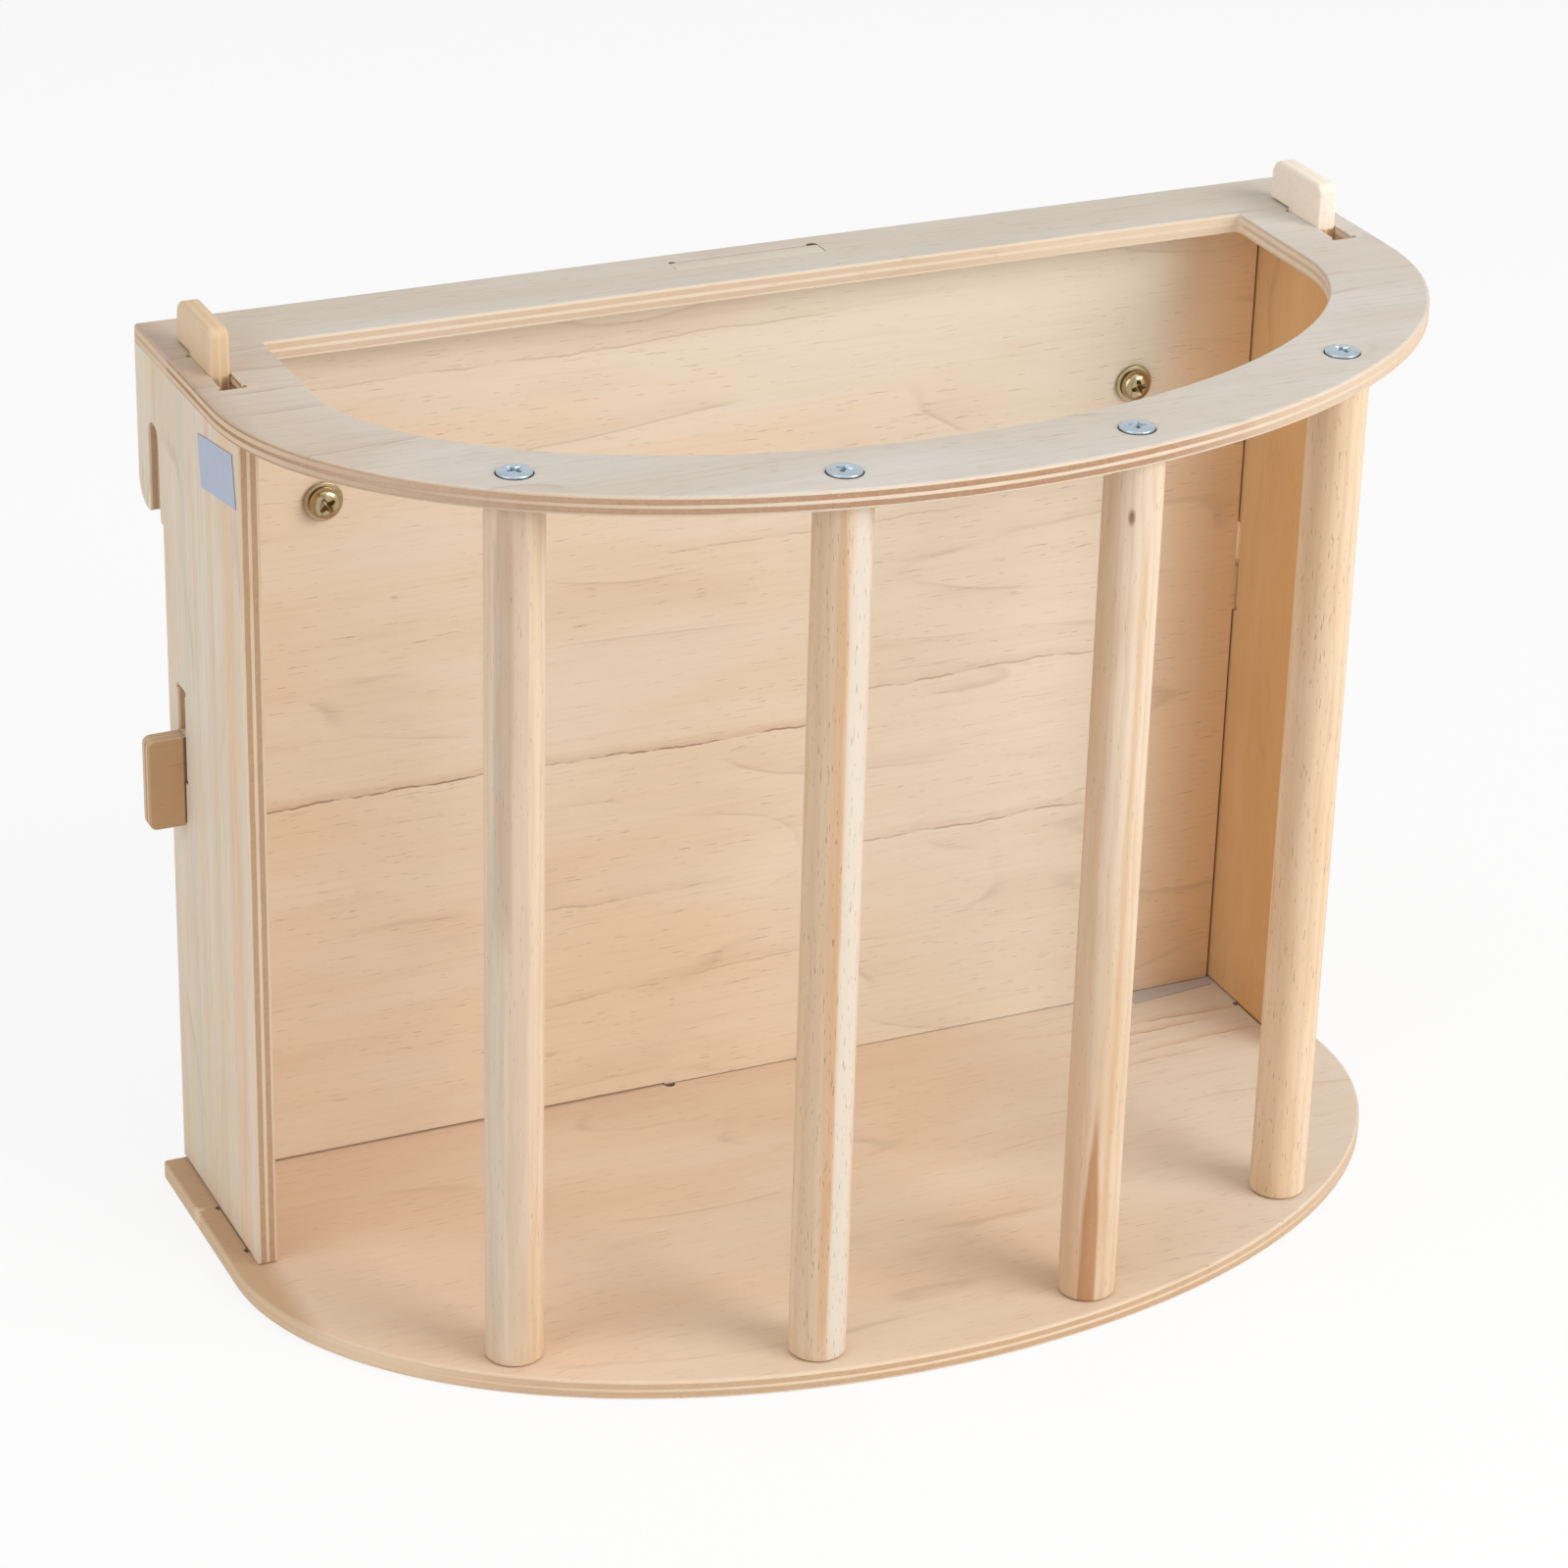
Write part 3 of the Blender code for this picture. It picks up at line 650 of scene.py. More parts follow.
def growthLine(net, along, side, seed, spec):
    # one strong line of late wood: where it lies, where it starts and ends, and how strong it is
    height, start, end, amount = spec
    w = lateWood
    wander = net.grain(along * 0.018 + seed, height * 0.37, seed, 2, 0.5)
    shiver = net.grain(along * 0.16, height + seed, 0, 2, 0.6)
    gap = side - height - (wander - 0.5) * w.wander - (shiver - 0.5) * w.shiver
    tail = w.tail
    reach = net.ease(along, start - tail, start + tail / 2) * net.fade(along, end - tail / 2, end + tail)
    broken = net.grain(along * 0.09 + height, side * 0.5, seed, 3, 0.6)
    line = net.fade(abs(gap), *w.width) * net.ease(broken, *w.gaps)
    glow = net.fade(gap, 0, w.glowWidth) * net.ease(gap, *w.glowEdge)
    return line * reach * amount * w.amount, glow * reach * amount


def woodFigure(net, along, across, through, seed, look):
    # face of a peeled veneer: soft growth bands, fine streaks and short dark pores
    v = veneer
    drift = net.grain(along * 0.0045 + seed, across * 0.019, seed, 2, 0.45)
    sway = net.grain(along * 0.03, across * 0.09 + seed, seed, 2, 0.5)
    turn = net.maths("FRACT", drift * look.rings + sway * v.sway)
    band = net.ease(turn, *v.rise) * net.fade(turn, *v.fall)
    rim = net.ease(turn, *v.rim) * net.fade(turn, *v.rimFall)
    blotch = net.grain(along * 0.007, across * 0.03 + seed, through * 0.02, 3, 0.55)
    coming = net.grain(along * 0.02 + seed, across * 0.06, seed + 3, 2, 0.5)
    shown = net.ease(coming, *v.shown)
    fibre = net.grain(along * 0.028 + seed, across * 1.1, through, 4, 0.62)
    fine = net.grain(along * 0.10, across * 4.5 + seed, through, 2, 0.6)
    pore = net.grain(along * 0.17 + seed, across * 2.9, through, 1, 0.4)
    fleck = net.ease(pore, look.fleckFrom, look.fleckFrom + v.fleckSoft)
    fleck = fleck * net.ease(blotch, *v.fleckPatches)
    colour = net.mix(net.ease(blotch, *v.patches), look.pale, look.warm)
    for at, half, tone, amount in look.strips:
        waver = (blotch - 0.5) * v.stripWaver + (fibre - 0.5) * v.stripFray
        off = abs(across - at) + waver * half
        colour = net.mix(net.fade(off, half * v.stripSoft, half) * amount, colour, tone)
    for start, end, tone, amount in look.drift:
        colour = net.mix(net.ease(along, start, end) * amount, colour, tone)
    soft = band * shown * look.halo + net.ease(fibre, *v.streaks) * look.streak
    colour = net.mix(soft, colour, look.line)
    dark = rim * shown * look.lineAmount
    halo = 0
    for spec in look.growth:
        strong, glow = growthLine(net, along, across, seed, spec)
        dark = net.maths("MAXIMUM", dark, strong)
        halo = net.maths("MAXIMUM", halo, glow * look.glow)
    for amount, tone in (halo, "line"), (dark, "fleck"), (fleck * look.fleckAmount, "fleck"):
        colour = net.mix(amount, colour, look[tone])
    relief = fibre * 0.5 + fine * 0.35 - dark * 0.4 - fleck * 0.8
    return colour, relief, fine


def plywood(name, thickness, grain, seed, look):
    # thickness and grain are the sheet's axes
    net = Finish(name + "Wood")
    e = edgeLook
    x, y, z = places = [part / mm for part in net.split(net.place)]
    facing = net.split(net.node("ShaderNodeTexCoord", out="Normal"))
    cross = next(axis for axis in (0, 1, 2) if axis not in (thickness, grain))
    along, side = places[grain], places[cross]
    depth = places[thickness] - middleOf(sheetNodes[name])[thickness] / mm
    colour, relief, fine = woodFigure(net, along, side, depth, seed, look)
    waver = net.grain(along * 0.12, side * 0.12, depth * 0.2 + seed, 3, 0.6)
    level = abs(depth) + (waver - 0.5) * plies.waver * 2
    core, outer, blur = plies.coreHalf, plies.crossHalf, plies.blur
    inCross = net.ease(level, core - blur, core + blur) * net.fade(level, outer - blur, outer + blur)
    endLong, endCross = abs(facing[grain]), abs(facing[cross])
    ended = endLong + (endCross - endLong) * inCross
    edge = net.fade(abs(facing[thickness]), *e.turned)
    speck = net.grain(along * 1.5, side * 1.5 + seed, depth * 2.2, 3, 0.6)
    grit = net.grain(along * 0.5, side * 0.5 + seed, depth * 0.6, 2, 0.6)
    shade = (ended ** e.power) * edge * look.end
    if look.endTop < 1:
        shade = shade * net.ease(facing[2], *e.upFrom, 1, look.endTop)
    seam = net.fade(abs(level - outer), 0, plies.seam) + net.fade(abs(level - core), 0, plies.seam)
    seam = seam * edge
    if look.endCalm:
        calm = net.ease(side, *look.endCalm) * e.calm
        shade, seam = shade * (1 - calm), seam * (1 - calm)
    if look.plainEnd:
        first, last, share = look.plainEnd
        plain = net.ease(x, first, last) * share
        shade, seam = shade * (1 - plain), seam * (1 - plain)
    colour = net.mix(edge * e.veneer, colour, look.veneer)
    base, speckled, gritty = e.speckled
    colour = net.mix(shade * (base + speck * speckled + grit * gritty), colour, look.endGrain)
    colour = net.mix(seam * plies.seamAmount, colour, look.fleck)
    if look.pocket:
        # the walls of the slot for the back panel, dark with shade
        soft, (near, far) = e.pocketSoft, e.pocketRim
        inside = net.fade(abs(x), look.pocket - soft, look.pocket + soft)
        inside = inside * net.ease(y, backLow.y - far, backLow.y - near)
        inside = inside * net.fade(y, backHigh.y + near, backHigh.y + far)
        colour = net.mix(inside * edge * e.pocketShade, colour, look.seamShade)
    if look.aboveRing:
        # above the ring the sheet takes another colour; on the right side panel that colour is painted
        # light, and the colours below it painted shade
        above = net.ease(z, look.aboveFrom, look.aboveFrom + e.aboveSoft)
        base, speckled = e.aboveSpeckled
        colour = net.mix(above * (base - speck * speckled), colour, look.aboveRing)
    for atX, atY, reach in look.nicks:
        # a small worn spot on a rim
        away = abs(x - atX) + abs(y - atY) + (speck - 0.5) * reach * 2
        colour = net.mix(net.fade(away, reach / 2, reach, e.nick), colour, look.veneer)
    if look.footLine:
        # painted shade: a dark line where the sheet stands on the bottom panel
        high, front = look.footLine
        softUp, softBack = e.footSoft
        line = net.fade(z, high, high + softUp) * net.ease(y, front, front + softBack)
        base, speckled = e.footSpeckled
        colour = net.mix(line * (base + speck * speckled), colour, look.seamShade)
    height = relief * 0.5 + (speck * 0.9 - seam * 0.4) * edge
    rough = 0.58 + fine * 0.14 + edge * 0.12
    return net.close({"Specular IOR Level": 0.3}, Base_Color=colour, Roughness=rough,
                     Normal=net.bump(height, 0.0001, look.bump))


footTop = floorHigh.z + 0.45
sheetFinishes = {  # axes of thickness and grain, seed and look
    "topRing": (2, 0, 11.3, dict(
        pale=srgb(215, 208, 198), warm=srgb(207, 196, 182), line=srgb(172, 138, 108),
        endGrain=srgb(160, 114, 80), glow=0.5, fleckAmount=0.3, streak=0.2,
        endCalm=(42, 46), pocket=22, plainEnd=(30, 90, 0.6),
        strips=((60, 14, srgb(204, 188, 168), 0.3),),
        drift=((-110, -150, srgb(204, 176, 148), 0.45), (-147, -157, srgb(160, 118, 84), 0.35)),
        growth=((16, -156, -84, 0.35), (30, -150, -70, 0.3), (3, -150, -110, 0.35),
                (-24, -150, -60, 0.3), (44, -156, -120, 0.3), (-2, 120, 156, 0.25)),
    )),
    "bottomPanel": (2, 0, 47.9, dict(
        pale=srgb(224, 204, 180), warm=srgb(219, 193, 166), line=srgb(200, 146, 100),
        fleckAmount=0.3, plainEnd=(-100, -140, 0.75), end=0.62, glow=0.6, pocket=22,
        nicks=((-154.5, 42, 2.6),),
        drift=((-50, -100, srgb(230, 202, 176), 0.6), (30, 120, srgb(222, 211, 195), 0.7),
               (-142, -150, srgb(196, 160, 124), 0.85)),
        growth=((44, 92, 110, 0.5), (41, 116, 138, 0.6), (36, 102, 126, 0.6),
                (31, 90, 106, 0.45), (27, 112, 136, 0.6), (21, 100, 120, 0.4)),
    )),
    "leftSidePanel": (0, 2, 83.1, dict(
        pale=srgb(224, 211, 192), warm=srgb(222, 201, 174), endGrain=srgb(184, 146, 112),
        streak=0.26, fleckAmount=0.2, aboveRing=srgb(221, 192, 156), footLine=(footTop, 14.5),
        strips=((20, 6, srgb(230, 186, 148), 0.55), (34, 2.6, srgb(222, 190, 156), 0.5),
                (46, 2, srgb(222, 196, 164), 0.4), (54, 3, srgb(206, 202, 188), 0.5)),
    )),
    # painted shade: the right side panel's colours stand for the warm shade on its inner face; its
    # colour above the ring is painted light on its tab
    "rightSidePanel": (0, 2, 129.7, dict(
        pale=srgb(219, 180, 131), warm=srgb(211, 164, 111), endGrain=srgb(184, 146, 112),
        fleckAmount=0.2, aboveRing=srgb(253, 242, 227), footLine=(footTop, 14.5),
        strips=((14, 5, srgb(228, 192, 150), 0.6),),
    )),
    "backPanel": (1, 0, 171.3, dict(
        pale=srgb(231, 212, 189), warm=srgb(228, 203, 175), aboveRing=srgb(211, 203, 191),
        aboveFrom=231, endTop=0.3, rings=7, halo=0.12, fleckFrom=0.695,
        fleckAmount=0.4, footLine=(floorHigh.z, -100),
        strips=((224, 46, srgb(219, 208, 190), 0.6),),
        # painted shade: the orange drifts at the right end stand for the warm shade the right side panel
        # casts; the dark line near x -148.5 is a painted shadow at the left tab's root, and the brown
        # beyond it painted shade on that tab
        drift=((-20, 90, srgb(224, 213, 194), 0.75), (112, 128, srgb(231, 186, 138), 0.6),
               (127, 143, srgb(230, 180, 122), 0.5), (-148.3, -148.7, srgb(96, 70, 50), 0.9),
               (-149.2, -149.7, srgb(198, 158, 118), 0.94)),
        growth=((104.6, -150, 20, 1), (111, 36, 98, 0.6), (67.5, 38, 102, 0.65),
                (63.5, -50, -12, 0.5), (216, -110, 20, 0.3), (158, -20, 60, 0.3),
                (36, -60, 40, 0.3)),
    )),
}


def dressSheets():
    # the five plywood sheets, each cut from its own piece of board
    for name, (thickness, grain, seed, changes) in sheetFinishes.items():
        wood = plywood(name, thickness, grain, seed, Values(sheetLook, **changes))
        sheets[name].data.materials.append(wood)


# Dowels. "across" runs over a bar from left to right as seen from the front left, -7 to 7
barLook = Values(
    pale=srgb(224, 204, 180), warm=srgb(217, 189, 158), line=srgb(190, 150, 112),
    fleck=srgb(124, 88, 62), fleckFrom=0.69, fleckSoft=0.05, fleckAmount=0.35,
    rings=0.34, sway=2.6, rise=(0.3, 0.92), fall=(0.92, 1), lineAmount=0.2,
    fibre=(0.42, 0.78), fibreAmount=0.2, patches=(0.3, 0.7), view=math.radians(-24.9),
    streakFray=1.6, streakSoft=(-0.7, 0.5), streakNarrows=(35, 5), streakEnds=(10, 6),
    spotShape=(2.2, 0.35), spotSoft=(0.4, 1.7, 0.85),
    leanFrom=110, cut=30, streaks=(), spots=(),
)
barLooks = {  # a streak's place, lean, half width, lower and upper end, tone and amount
    1: dict(cut=70, streaks=(
        (1.2, 0, 2.6, 10, 245, srgb(196, 172, 148), 0.5),
        (-2.6, 0.006, 2.2, 120, 245, srgb(176, 148, 126), 0.5),
        (-4.4, 0, 2.6, 10, 150, srgb(196, 180, 160), 0.4),
        (4.6, 0, 0.5, 10, 240, srgb(214, 176, 140), 0.4),
    )),
    2: dict(cut=118, fleckFrom=0.665, fleckAmount=0.5, streaks=(
        (0.7, -0.004, 1.5, 10, 240, srgb(200, 152, 108), 0.65),
        (-2.5, 0, 3.2, 10, 245, srgb(206, 176, 144), 0.45),
        (4.6, 0, 2.2, 0, 240, srgb(217, 209, 195), 0.75),
    )),
    3: dict(cut=165, spots=((-0.5, 214),), streaks=(
        (-0.4, 0, 2.3, -20, 58, srgb(178, 122, 76), 0.8),
        (3.2, 0.004, 0.9, 20, 220, srgb(204, 158, 112), 0.4),
        (-4.6, 0, 1.6, -10, 240, srgb(208, 170, 134), 0.5),
    )),
    4: dict(cut=212, fleckFrom=0.672, fleckAmount=0.5,
            pale=srgb(232, 208, 180), warm=srgb(226, 196, 162)),
}


def dowelWood(number, centre):
    # growth lines run up the bar, seen in slices, with pores and a streak or two
    look = Values(barLook, **barLooks[number])
    seed = 31.7 * number
    net = Finish(f"bar{number}Wood")
    x, y, z = net.split(net.place)
    x, y, z = (x - centre.x) / mm, (y - centre.y) / mm, z / mm
    view, lean = look.view, math.radians(look.cut)
    across = x * math.cos(view) + y * math.sin(view)
    slant = x * math.cos(lean) + y * math.sin(lean)

    def grain(wide, tall, detail, rough, shift=0):
        return net.grain(x * wide, y * wide, z * tall + (seed + shift), detail, rough)

    sway = grain(0.05, 0.012, 3, 0.5)
    turn = net.maths("FRACT", slant * look.rings + sway * look.sway)
    band = net.ease(turn, *look.rise) * net.fade(turn, *look.fall)
    fibre = grain(1.1, 0.045, 4, 0.6)
    fine = grain(4, 0.16, 2, 0.6)
    fleck = net.ease(grain(3, 0.27, 1, 0.5), look.fleckFrom, look.fleckFrom + look.fleckSoft)
    colour = net.mix(net.ease(grain(0.08, 0.016, 2, 0.5), *look.patches), look.pale, look.warm)
    soft = net.ease(fibre, *look.fibre) * look.fibreAmount + band * look.lineAmount
    colour = net.mix(soft, colour, look.line)
    for at, slope, half, low, high, tone, amount in look.streaks:
        ragged = grain(0.7, 0.03, 3, 0.6, at)
        off = abs(across - at - (z - look.leanFrom) * slope) + (ragged - 0.5) * look.streakFray
        below, above = look.streakNarrows
        narrow = net.ease(z, high - below, high + above, half, half * 0.1)
        body = net.fade(off - narrow, *look.streakSoft)
        soft, near = look.streakEnds
        reach = net.ease(z, low - soft, low + soft) * net.fade(z, high - near, high + soft)
        colour = net.mix(body * reach * amount, colour, tone)
    for at, level in look.spots:
        wide, tall = look.spotShape
        aside, above = across - at, z - level
        off = (aside * aside * wide + above * above * tall) ** 0.5
        colour = net.mix(net.fade(off, *look.spotSoft), colour, look.fleck)
    colour = net.mix(fleck * look.fleckAmount, colour, look.fleck)
    height = fibre * 0.5 + fine * 0.4 - fleck * 0.8
    return net.close({"Specular IOR Level": 0.34}, Base_Color=colour, Roughness=0.5 + fine * 0.16,
                     Normal=net.bump(height, 0.0001, 0.35))


metalLook = Values(
    cloud=900, fine=4200, dull=(0.66, 0.66, 0.66, 1), blotchy=0.2,
    # the recess colour is painted shade in the screws' cross recesses
    recess=srgb(44, 46, 50), recessShade=0.85,
)
paperLook = Values(fibre=1500, cloud=160, dull=(0.88, 0.89, 0.91, 1), rough=0.66)
white = (1, 1, 1, 1)


def platedMetal(name, tone, rough, shadeHeights=()):
    # the last argument gives the heights, in millimetres, between which a recess is painted dark:
    # painted shade in the hollow
    net = Finish(name)
    look = metalLook
    cloud = net.noise(net.place, look.cloud, 3, 0.6)
    fine = net.noise(net.place, look.fine, 2, 0.6)
    colour = net.mix(1, tone, net.mix(cloud, look.dull, white), "MULTIPLY")
    if shadeHeights:
        height = net.split(net.place)[2] / mm
        dark = net.fade(height, *shadeHeights[:2], look.recessShade) * net.ease(height, *shadeHeights[2:])
        colour = net.mix(dark, colour, look.recess)
    return net.close({"Metallic": 1}, Base_Color=colour, Roughness=rough + (cloud - 0.5) * look.blotchy,
                     Normal=net.bump(fine, 0.00002, 0.4))


def paperStock(name, tone):
    net = Finish(name)
    fibre = net.noise(net.place, paperLook.fibre, 4, 0.65)
    cloud = net.noise(net.place, paperLook.cloud, 2, 0.5)
    dim = net.mix(fibre * 0.5 + cloud * 0.5, paperLook.dull, white)
    return net.close(None, Base_Color=net.mix(1, tone, dim, "MULTIPLY"),
                     Roughness=paperLook.rough + fibre * 0.1, Normal=net.bump(fibre, 0.00003, 0.4))


# Round bars, each turned along its own line
barSizes = Values(sides=64, arris=0.35, pieces=40)


def barTree():
    tree = Grow("turnedBar", {
        "Foot": "Vector", "Top": "Vector", "Radius": "Float", "Arris": "Float",
        "Sides": "Int", "Pieces": "Int", "Material": "Material",
    })
    ends = {"Start": tree.given("Foot"), "End": tree.given("Top")}
    line = tree.node("GeometryNodeCurvePrimitiveLine", ends)
    parts = {"Curve": line, "Count": tree.given("Pieces")}
    line = tree.node("GeometryNodeResampleCurve", parts)
    section = {"Resolution": tree.given("Sides"), "Radius": tree.given("Radius")}
    section = tree.node("GeometryNodeCurvePrimitiveCircle", section)
    parts = {"Curve": line, "Profile Curve": section, "Fill Caps": True}
    body = tree.node("GeometryNodeCurveToMesh", parts)
    upright = tree.split(tree.node("GeometryNodeInputNormal"))[2]
    settings = {"data_type": "FLOAT", "operation": "GREATER_THAN"}
    ends = tree.node("FunctionNodeCompare", {0: abs(upright), 1: 0.9}, settings)
    grow = tree.tree.nodes.new("GeometryNodeExtrudeMesh")
    for label, value in {"Mesh": body, "Selection": ends, "Offset Scale": tree.given("Arris")}.items():
        tree.plug(value, grow.inputs[label])
    capShare = 1 - tree.given("Arris") / tree.given("Radius")
    parts = {"Geometry": Wire(tree, grow.outputs["Mesh"]), "Selection": Wire(tree, grow.outputs["Top"]),
             "Scale": capShare}
    narrowed = tree.node("GeometryNodeScaleElements", parts, {"domain": "FACE"})
    smooth = tree.node("GeometryNodeSetShadeSmooth", {"Geometry": narrowed, "Shade Smooth": True})
    return tree.close(smooth)


def makeBars():
    tree = barTree()
    arris = barSizes.arris * mm
    for number in range(1, 5):
        low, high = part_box(f"bar_{number}")
        x, y, _ = middleOf(f"bar_{number}")
        values = {
            "Foot": (x, y, low.z + arris), "Top": (x, y, high.z - arris), "Radius": (high.x - low.x) / 2,
            "Arris": arris, "Sides": barSizes.sides, "Pieces": barSizes.pieces,
            "Material": dowelWood(number, Vector((x, y, 0))),
        }
        bar = grown(f"bar{number}", tree, bpy.data.meshes.new("bar"), values)
        settle(bar, "rack", "dowel", f"bar_{number}")


# Wood screws, all eight grown on points
screwSizes = Values(
    rim=0.55, crown=0.95, rounding=0.22, shank=1.9, length=30, point=5, sides=48,
    span=4.6, blade=0.95, depth=1.9, turns=(20, 45, 70, 95), lowTurn=0.4, lowRise=0.1,
    dome=(0.3, 0.55, 0.75, 0.9),  # shares of the radius
)


def screwMesh():
    s = screwSizes
    head, rim, crown, shank, rounding = screwHead.radius, s.rim, s.crown, s.shank, s.rounding
    dome = [(0, crown)] + [(head * share, rim + (crown - rim) * (1 - share ** 2)) for share in s.dome]
    edge = arcPoints((head - rounding, rim - rounding), rounding, math.pi / 2, 0, 3)
    cone = [(head, 0), (shank, shank - head), (shank, s.point - s.length), (0, -s.length)]
    blank = lathe("screw", dome + edge + cone, s.sides)
    return cut(blank, crossCutter(s.span, s.blade, s.depth, crown))


def scatterTree():
    # one thing set down on every point of a mesh, turned by the point's own angles
    tree = Grow("setOnPoints", {"Thing": "Object", "Material": "Material"})
    settings, given = {"transform_space": "ORIGINAL"}, {"Object": tree.given("Thing")}
    thing = tree.node("GeometryNodeObjectInfo", given, settings, "Geometry")
    settings = {"data_type": "FLOAT_VECTOR"}
    turn = tree.node("GeometryNodeInputNamedAttribute", {"Name": "turn"}, settings)
    points = tree.node("GeometryNodeMeshToPoints", {"Mesh": tree.given("Geometry")})
    parts = {"Points": points, "Instance": thing, "Rotation": turn}
    return tree.close(tree.node("GeometryNodeInstanceOnPoints", parts))


def pointsMesh(name, places, turns):
    mesh = bpy.data.meshes.new(name)
    mesh.from_pydata(places, [], [])
    layer = mesh.attributes.new("turn", "FLOAT_VECTOR", "POINT")
    for item, turn in zip(layer.data, turns):
        item.vector = turn
    return mesh


def makeScrews(steel):
    s = screwSizes
    places, turns = [], []
    for number, degrees in enumerate(s.turns, 1):
        x, y, _ = middleOf(f"ring_screw_{number}")
        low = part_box(f"floor_screw_{number}")[0]
        places += [(x, y, ringHigh.z * mm), (x, y, low.z + (s.crown + s.lowRise) * mm)]
        turns += [(0, 0, math.radians(degrees)), (math.pi, 0, math.radians(degrees) + s.lowTurn)]
    thing = addItem("screwThing", screwMesh())
    values = {"Thing": thing, "Material": steel}
    item = grown("screws", scatterTree(), pointsMesh("screws", places, turns), values)
    bpy.data.objects.remove(thing)
    nodes = [f"{place}_screw_{number}" for place in ("ring", "floor") for number in range(1, 5)]
    settle(item, "rack", "zinc", *nodes)


# Clamping bolts, with washers and wing nuts
boltSizes = Values(
    head=4, headHeight=2.6, crown=1.19, dome=(0.3, 0.5, 0.65, 0.78, 0.88),
    side=((0.96, 0.42), (1, 0.24)), foot=0.12, core=1.5, crest=1.88, pitch=0.7, plain=1.2,
    length=30, sides=48, span=4.5, blade=1, depth=1.9, turns=(0.6, 0.2),
    runOut=0.4, point=0.3, threadEnd=0.5, flank=0.82, threadSteps=20,
)
nutSizes = Values(
    hubFoot=4.2, hubTop=3.4, hubHeight=5, bore=2.2, span=10.25, lobe=2.4, rise=6.6,
    wing=1.7, rounding=0.6, bevel=0.3, boreBevel=0.25, root=0.3, rootRun=(0.12, 0.93),
    lobeRun=(-72, 140), lobeSteps=16, sides=48,
)
washerSizes = Values(bore=2.2, rounding=0.3, sides=64)


def threadTree():
    # a ridge wound round a bolt's core
    tree = Grow("thread", {
        "Core": "Float", "Crest": "Float", "Pitch": "Float", "Length": "Float", "Material": "Material",
    })
    coil = {
        "Resolution": boltSizes.threadSteps, "Rotations": tree.given("Length") / tree.given("Pitch"),
        "Start Radius": tree.given("Core"), "End Radius": tree.given("Core"),
        "Height": tree.given("Length"),
    }
    coil = tree.node("GeometryNodeCurveSpiral", coil)
    coil = tree.node("GeometryNodeSetCurveNormal", {"Curve": coil}, {"mode": "Z_UP"})
    tall = tree.given("Crest") - tree.given("Core")
    half = tall * boltSizes.flank
    parts = {"Width": tall * 2, "Bottom Height": half, "Top Height": half}
    flank = tree.node("GeometryNodeCurvePrimitiveQuadrilateral", parts, {"mode": "KITE"})
    parts = {"Curve": coil, "Profile Curve": flank, "Fill Caps": True}
    return tree.close(tree.node("GeometryNodeCurveToMesh", parts))


def boltMesh(name, tree, steel):
    b = boltSizes
    r, h, core, crest, plain, length = [
        b[size] for size in ("head", "headHeight", "core", "crest", "plain", "length")
    ]
    dome = [(0, h)] + [(r * share, h - b.crown * share ** 4) for share in b.dome]
    edge = [(r * out, h * up) for out, up in b.side] + [(r, b.foot), (r - b.foot, 0)]
    shank = [(crest, 0), (crest, -plain), (core, -plain - b.runOut), (core, b.point - length),
             (core - b.point, -length), (0, -length)]
    blank = lathe(name, dome + edge + shank, b.sides)
    head = cut(blank, crossCutter(b.span, b.blade, b.depth, h))
    run = length - plain - b.runOut - b.threadEnd
    values = {
        "Core": core * mm, "Crest": crest * mm, "Pitch": b.pitch * mm, "Length": run * mm,
        "Material": steel,
    }
    thread = grown(name + "Thread", tree, bpy.data.meshes.new("thread"), values)
    ridge = thread.data.copy()
    bpy.data.objects.remove(thread)
    ridge.transform(Matrix.Translation((0, 0, (b.threadEnd - length) * mm)))
    return joined(name, [head, ridge])


def washerMesh(name, node):
    low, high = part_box(node)
    radius, thickness = (high.x - low.x) / 2 / mm, (high.y - low.y) / mm
    w = washerSizes
    rim = roundedRim(0, thickness, radius, thickness * w.rounding)
    return lathe(name, [(w.bore, 0)] + rim + [(w.bore, thickness)], w.sides)


def nutMesh():
    n = nutSizes
    height, bore, bevel = n.hubHeight, n.bore, n.bevel
    hub = [(bore, 0), (n.hubFoot - bevel, 0), (n.hubFoot, bevel), (n.hubTop + 0.1, height - 0.35),
           (n.hubTop - bevel, height), (bore + n.boreBevel, height), (bore, height - n.boreBevel)]
    root, (low, high) = bore + n.root, n.rootRun
    lobe = arcPoints((n.span - n.lobe, n.rise), n.lobe, *map(math.radians, n.lobeRun),
                     n.lobeSteps)
    ear = [(root, height * low)] + lobe + [(root, height * high)]
    ears = []
    for side in (1, -1):
        mesh = sheetMesh("ear", [([(side * x, y) for x, y in ear], n.rounding)], n.wing)
        mesh.transform(Matrix.Rotation(math.pi / 2, 4, "X"))
        ears.append(mesh)
    return joined("wingNut", [lathe("hub", hub, n.sides)] + ears)


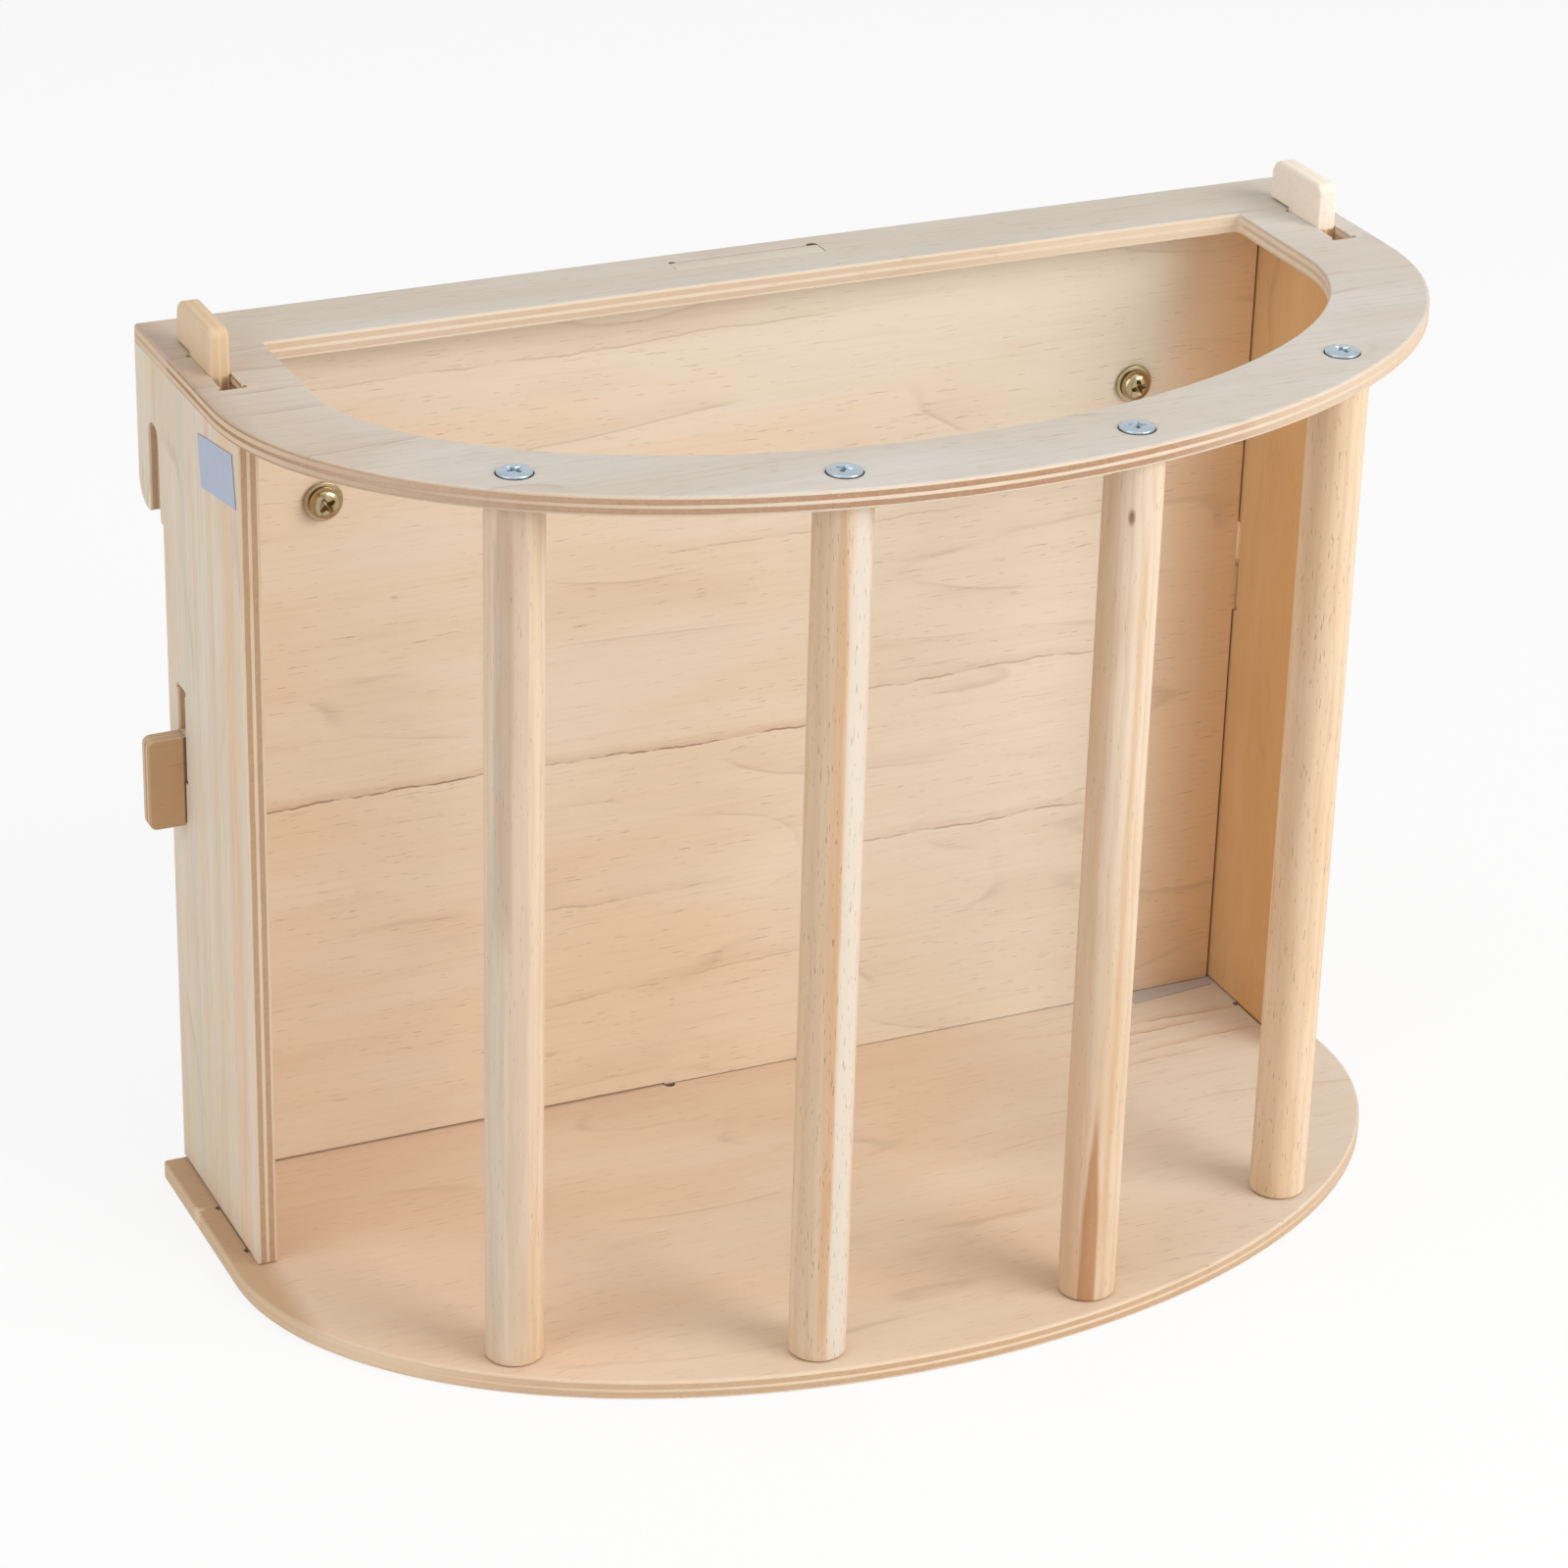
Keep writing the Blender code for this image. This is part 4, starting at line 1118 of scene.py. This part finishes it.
def makeClamps(nickel, zinc):
    tree = threadTree()
    forward = Matrix.Rotation(math.pi / 2, 4, "X")
    backward = Matrix.Rotation(-math.pi / 2, 4, "X")
    for side, turn in zip(("left", "right"), boltSizes.turns):
        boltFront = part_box(side + "_bolt")[0].y + boltSizes.headHeight * mm
        turned = forward @ Matrix.Rotation(turn, 4, "Z")
        washer, clamp, nut = side + "_bolt_washer", side + "_clamp_washer", side + "_wing_nut"
        for name, node, mesh, body, seat, facing, slot, steel in (
            ("Bolt", side + "_bolt", boltMesh(side + "Bolt", tree, nickel), "rack",
             boltFront, turned, "nickel", nickel),
            ("BoltWasher", washer, washerMesh("boltWasher", washer), "rack",
             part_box(washer)[1].y, forward, "nickel", nickel),
            ("ClampWasher", clamp, washerMesh("clampWasher", clamp), side + "_clamp",
             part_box(clamp)[0].y, backward, "zinc", zinc),
            ("WingNut", nut, nutMesh(), side + "_nut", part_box(nut)[0].y, backward, "zinc", zinc),
        ):
            middle = middleOf(node)
            mesh.transform(Matrix.Translation((middle.x, seat, middle.z)) @ facing)
            mesh.materials.clear()
            mesh.materials.append(steel)
            mesh.set_sharp_from_angle(angle=crease)
            settle(addItem(side + name, mesh), body, slot, node)


makeBars()
print("bars turned")
zinc = platedMetal("zincPlate", srgb(204, 214, 220), 0.24)
nickel = platedMetal("nickelPlate", srgb(192, 174, 138), 0.2)
# painted shade: the screws' recesses are painted dark below the ring's top and above the bottom's
# underside
recessShadeHeights = (ringHigh.z - 0.5, ringHigh.z + 0.3, floorLow.z + 0.6, floorLow.z + 1.4)
makeScrews(platedMetal("screwPlate", srgb(186, 200, 210), 0.26, recessShadeHeights))
makeClamps(nickel, zinc)
print("screws and clamps made")
dress("side_label", paperStock("sideLabelPaper", srgb(182, 188, 204)))
dress("floor_label", paperStock("floorLabelPaper", srgb(198, 188, 185)))
dressSheets()
print("finishes made")

cameraView = Values(
    place=Vector((-0.4733, -0.9851, 0.6440)),
    turn=math.radians(-24.903),  # round the rack, from straight in front
    tilt=math.radians(26.059),
    roll=math.radians(1.513),
    lens=112.84,
    shift=(0.0042, 0.0138),
)


def setCamera():
    view = cameraView
    turn, tilt, roll = view.turn, view.tilt, view.roll
    level = Vector((math.cos(turn), math.sin(turn), 0))
    back = Vector((math.sin(turn), -math.cos(turn), 0)) * math.cos(tilt) + Vector((0, 0, math.sin(tilt)))
    upright = back.cross(level)
    right = level * math.cos(roll) + upright * math.sin(roll)
    up = upright * math.cos(roll) - level * math.sin(roll)
    lens = bpy.data.cameras.new("camera")
    lens.lens, lens.sensor_width, lens.clip_start = view.lens, 36, 0.05
    lens.shift_x, lens.shift_y = view.shift
    camera = addItem("camera", lens)
    axes = Matrix((right, up, back)).transposed().to_4x4()
    camera.matrix_world = Matrix.Translation(view.place) @ axes
    bpy.context.scene.camera = camera


lamps = {
    "key": {"from": (0.95, -1.20, 0.95), "size": 1.3, "power": 22, "tone": (1, 0.975, 0.95)},
    "fill": {"from": (-1.35, -0.35, 0.75), "size": 1.3, "power": 7.5, "tone": (0.95, 0.975, 1)},
    "top": {"from": (0.1, 0, 1.6), "size": 1.4, "power": 4, "tone": (0.98, 0.99, 1)},
}
aimHeight = 0.12
sky = Values(tone=(0.96, 0.98, 1, 1), level=0.45)
ground = Values(radius=4, sides=96, drop=0.0002, glow=0.84)


def setLights():
    for name, lamp in lamps.items():
        light = bpy.data.lights.new(name, "AREA")
        light.shape, light.size = "DISK", lamp["size"]
        light.energy, light.color = lamp["power"], lamp["tone"]
        item = addItem(name, light)
        item.location = lamp["from"]
        aim = Vector((0, 0, aimHeight)) - item.location
        item.rotation_euler = aim.to_track_quat("-Z", "Y").to_euler()


def seenPlain(net):
    # 1 for what the camera sees, also in metal or glass
    path = net.tree.nodes.new("ShaderNodeLightPath")
    seen = Wire(net, path.outputs["Is Camera Ray"])
    for label in ("Is Glossy Ray", "Is Transmission Ray"):
        seen = net.maths("MAXIMUM", seen, Wire(net, path.outputs[label]))
    return seen


def setWorld():
    world = bpy.data.worlds.new("studio")
    bpy.context.scene.world = world
    world.use_nodes = True
    net = Net(world.node_tree)
    net.tree.nodes.clear()
    soft, plain = [
        net.node("ShaderNodeBackground", {"Color": tone, "Strength": level})
        for tone, level in ((sky.tone, sky.level), (white, 1))
    ]
    blend = net.node("ShaderNodeMixShader", {0: seenPlain(net), 1: soft, 2: plain})
    output = net.tree.nodes.new("ShaderNodeOutputWorld")
    net.plug(blend, output.inputs["Surface"])


def setFloor():
    shape = bmesh.new()
    bmesh.ops.create_circle(shape, cap_ends=True, segments=ground.sides, radius=ground.radius)
    bmesh.ops.translate(shape, verts=shape.verts, vec=(0, 0, -ground.drop))
    floor = addItem("floor", meshFrom(shape, "floor"))
    net = Finish("floorWhite")
    net.close({"Base Color": (0.9, 0.9, 0.9, 1), "Roughness": 0.9, "Specular IOR Level": 0.1})
    glow = net.node("ShaderNodeEmission", {"Color": white, "Strength": 1})
    parts = {0: seenPlain(net) * ground.glow, 1: Wire(net, net.shader.outputs[0]), 2: glow}
    net.plug(net.node("ShaderNodeMixShader", parts), net.output.inputs["Surface"])
    floor.data.materials.append(net.material)


setCamera()
setLights()
setWorld()
setFloor()
bpy.context.scene.view_settings.view_transform = "Standard"
print("studio set")
